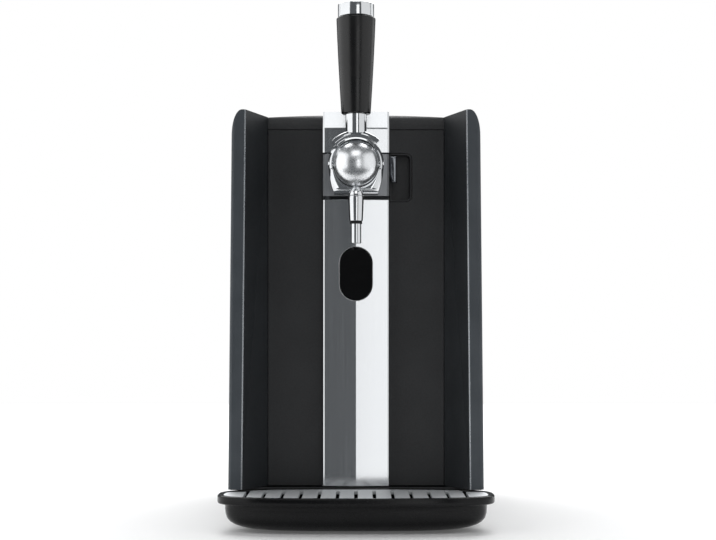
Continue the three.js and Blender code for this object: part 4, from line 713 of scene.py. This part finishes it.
# %% Floor and world
bm = bmesh.new()
floor_half, floor_middle = 1.5, (0, 1.12, 0)
bmesh.ops.create_grid(bm, x_segments=2, y_segments=2, size=floor_half, matrix=Matrix.Translation(floor_middle))
floor_mesh = bpy.data.meshes.new("floor_sheet")
bm.to_mesh(floor_mesh)
bm.free()
floor = bpy.data.objects.new("floor_sheet", floor_mesh)
bpy.context.scene.collection.objects.link(floor)
floor_mesh.materials.append(grained("paper_pressed", ("#f2f2f2", "#f4f4f4"), 400, 4, (0.7, 0.8), 0.02,
                                     Emission_Color=(1, 1, 1, 1), Emission_Strength=0.08))
floor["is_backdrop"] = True

world = bpy.data.worlds.new("studio")
bpy.context.scene.world = world
world.use_nodes = True
sky = world.node_tree
seen = add_node(sky, "ShaderNodeLightPath").outputs["Is Camera Ray"]
room = sky.nodes["Background"]
room.inputs["Color"].default_value = (0.9, 0.95, 1.0, 1)
room.inputs["Strength"].default_value = 0.12
white = add_node(sky, "ShaderNodeBackground", {"Color": (1, 1, 1, 1), "Strength": 1.0})
both = add_node(sky, "ShaderNodeMixShader", {0: seen, 1: room.outputs["Background"],
                                             2: white.outputs["Background"]})
sky.links.new(both.outputs["Shader"], sky.nodes["World Output"].inputs["Surface"])
print("room strength:", room.inputs["Strength"].default_value)

# %% [markdown]
# Studio light. Chrome and steel show the lamps themselves, so the lamps are placed for their
# reflections. The ball in the photograph tells where they stood: it mirrors one white wall from 40 to 115
# degrees left of the camera and a softer one from 34 to 104 degrees right of it, with a dark gap
# between them. The gap keeps the left half of the strip dark. A low card from 4 to 21 degrees right of the
# camera stands in the gap and makes the strip's right half bright. Two cards at the rear catch the edges of
# the chromed parts. A box above in front whitens the sloping top of the strip, a ceiling lights the lid
# and the grid, and a large box behind whitens the floor.

# %% Lamps
lamps = {  # where it hangs, the point that it faces, width, height, watts
    "wall_left": ((-2.01, -0.62, 0.8), (0, -0.17, 0.8), 3.17, 2.8, 32),
    "wall_right": ((2.0, -0.95, 0.8), (0, -0.17, 0.8), 3.0, 2.8, 20),
    "card_right": ((0.55, -2.63, 0.35), (0, -0.17, 0.35), 0.75, 1.9, 5.9),
    "card_left_rear": ((-1.95, 1.35, 0.8), (0, -0.17, 0.8), 1.3, 2.2, 8),
    "card_right_rear": ((1.95, 1.25, 0.5), (0, -0.17, 0.5), 1.5, 1.6, 6.4),
    "box_above": ((0.0, -1.9, 2.1), (0, -0.1, 0.4), 1.6, 1.2, 8),
    "ceiling": ((0.0, 0.9, 2.6), (0, 0.35, 0), 2.6, 1.8, 48),
    "box_behind": ((0.0, 2.6, 2.4), (0, 1.6, 0), 4.0, 2.0, 90),
}
for name, (place, aim, width, height, watts) in lamps.items():
    lamp = bpy.data.lights.new(name, "AREA")
    lamp.shape = "RECTANGLE"
    lamp.size = width
    lamp.size_y = height
    lamp.energy = watts
    holder = bpy.data.objects.new(name, lamp)
    bpy.context.scene.collection.objects.link(holder)
    holder.location = place
    holder.rotation_euler = (Vector(aim) - Vector(place)).to_track_quat("-Z", "Y").to_euler()
print("lamps:", len(lamps))

# %% [markdown]
# Last, the box of the dressed dispenser is written beside the box of the measured pieces.

# %% Compare the boxes and finish
dressed_box = [list(corner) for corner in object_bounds()]
growth = [round(1000 * (d - c), 2) for low, high in zip(cad_box, dressed_box) for c, d in zip(low, high)]
print("growth of the box in mm:", growth)
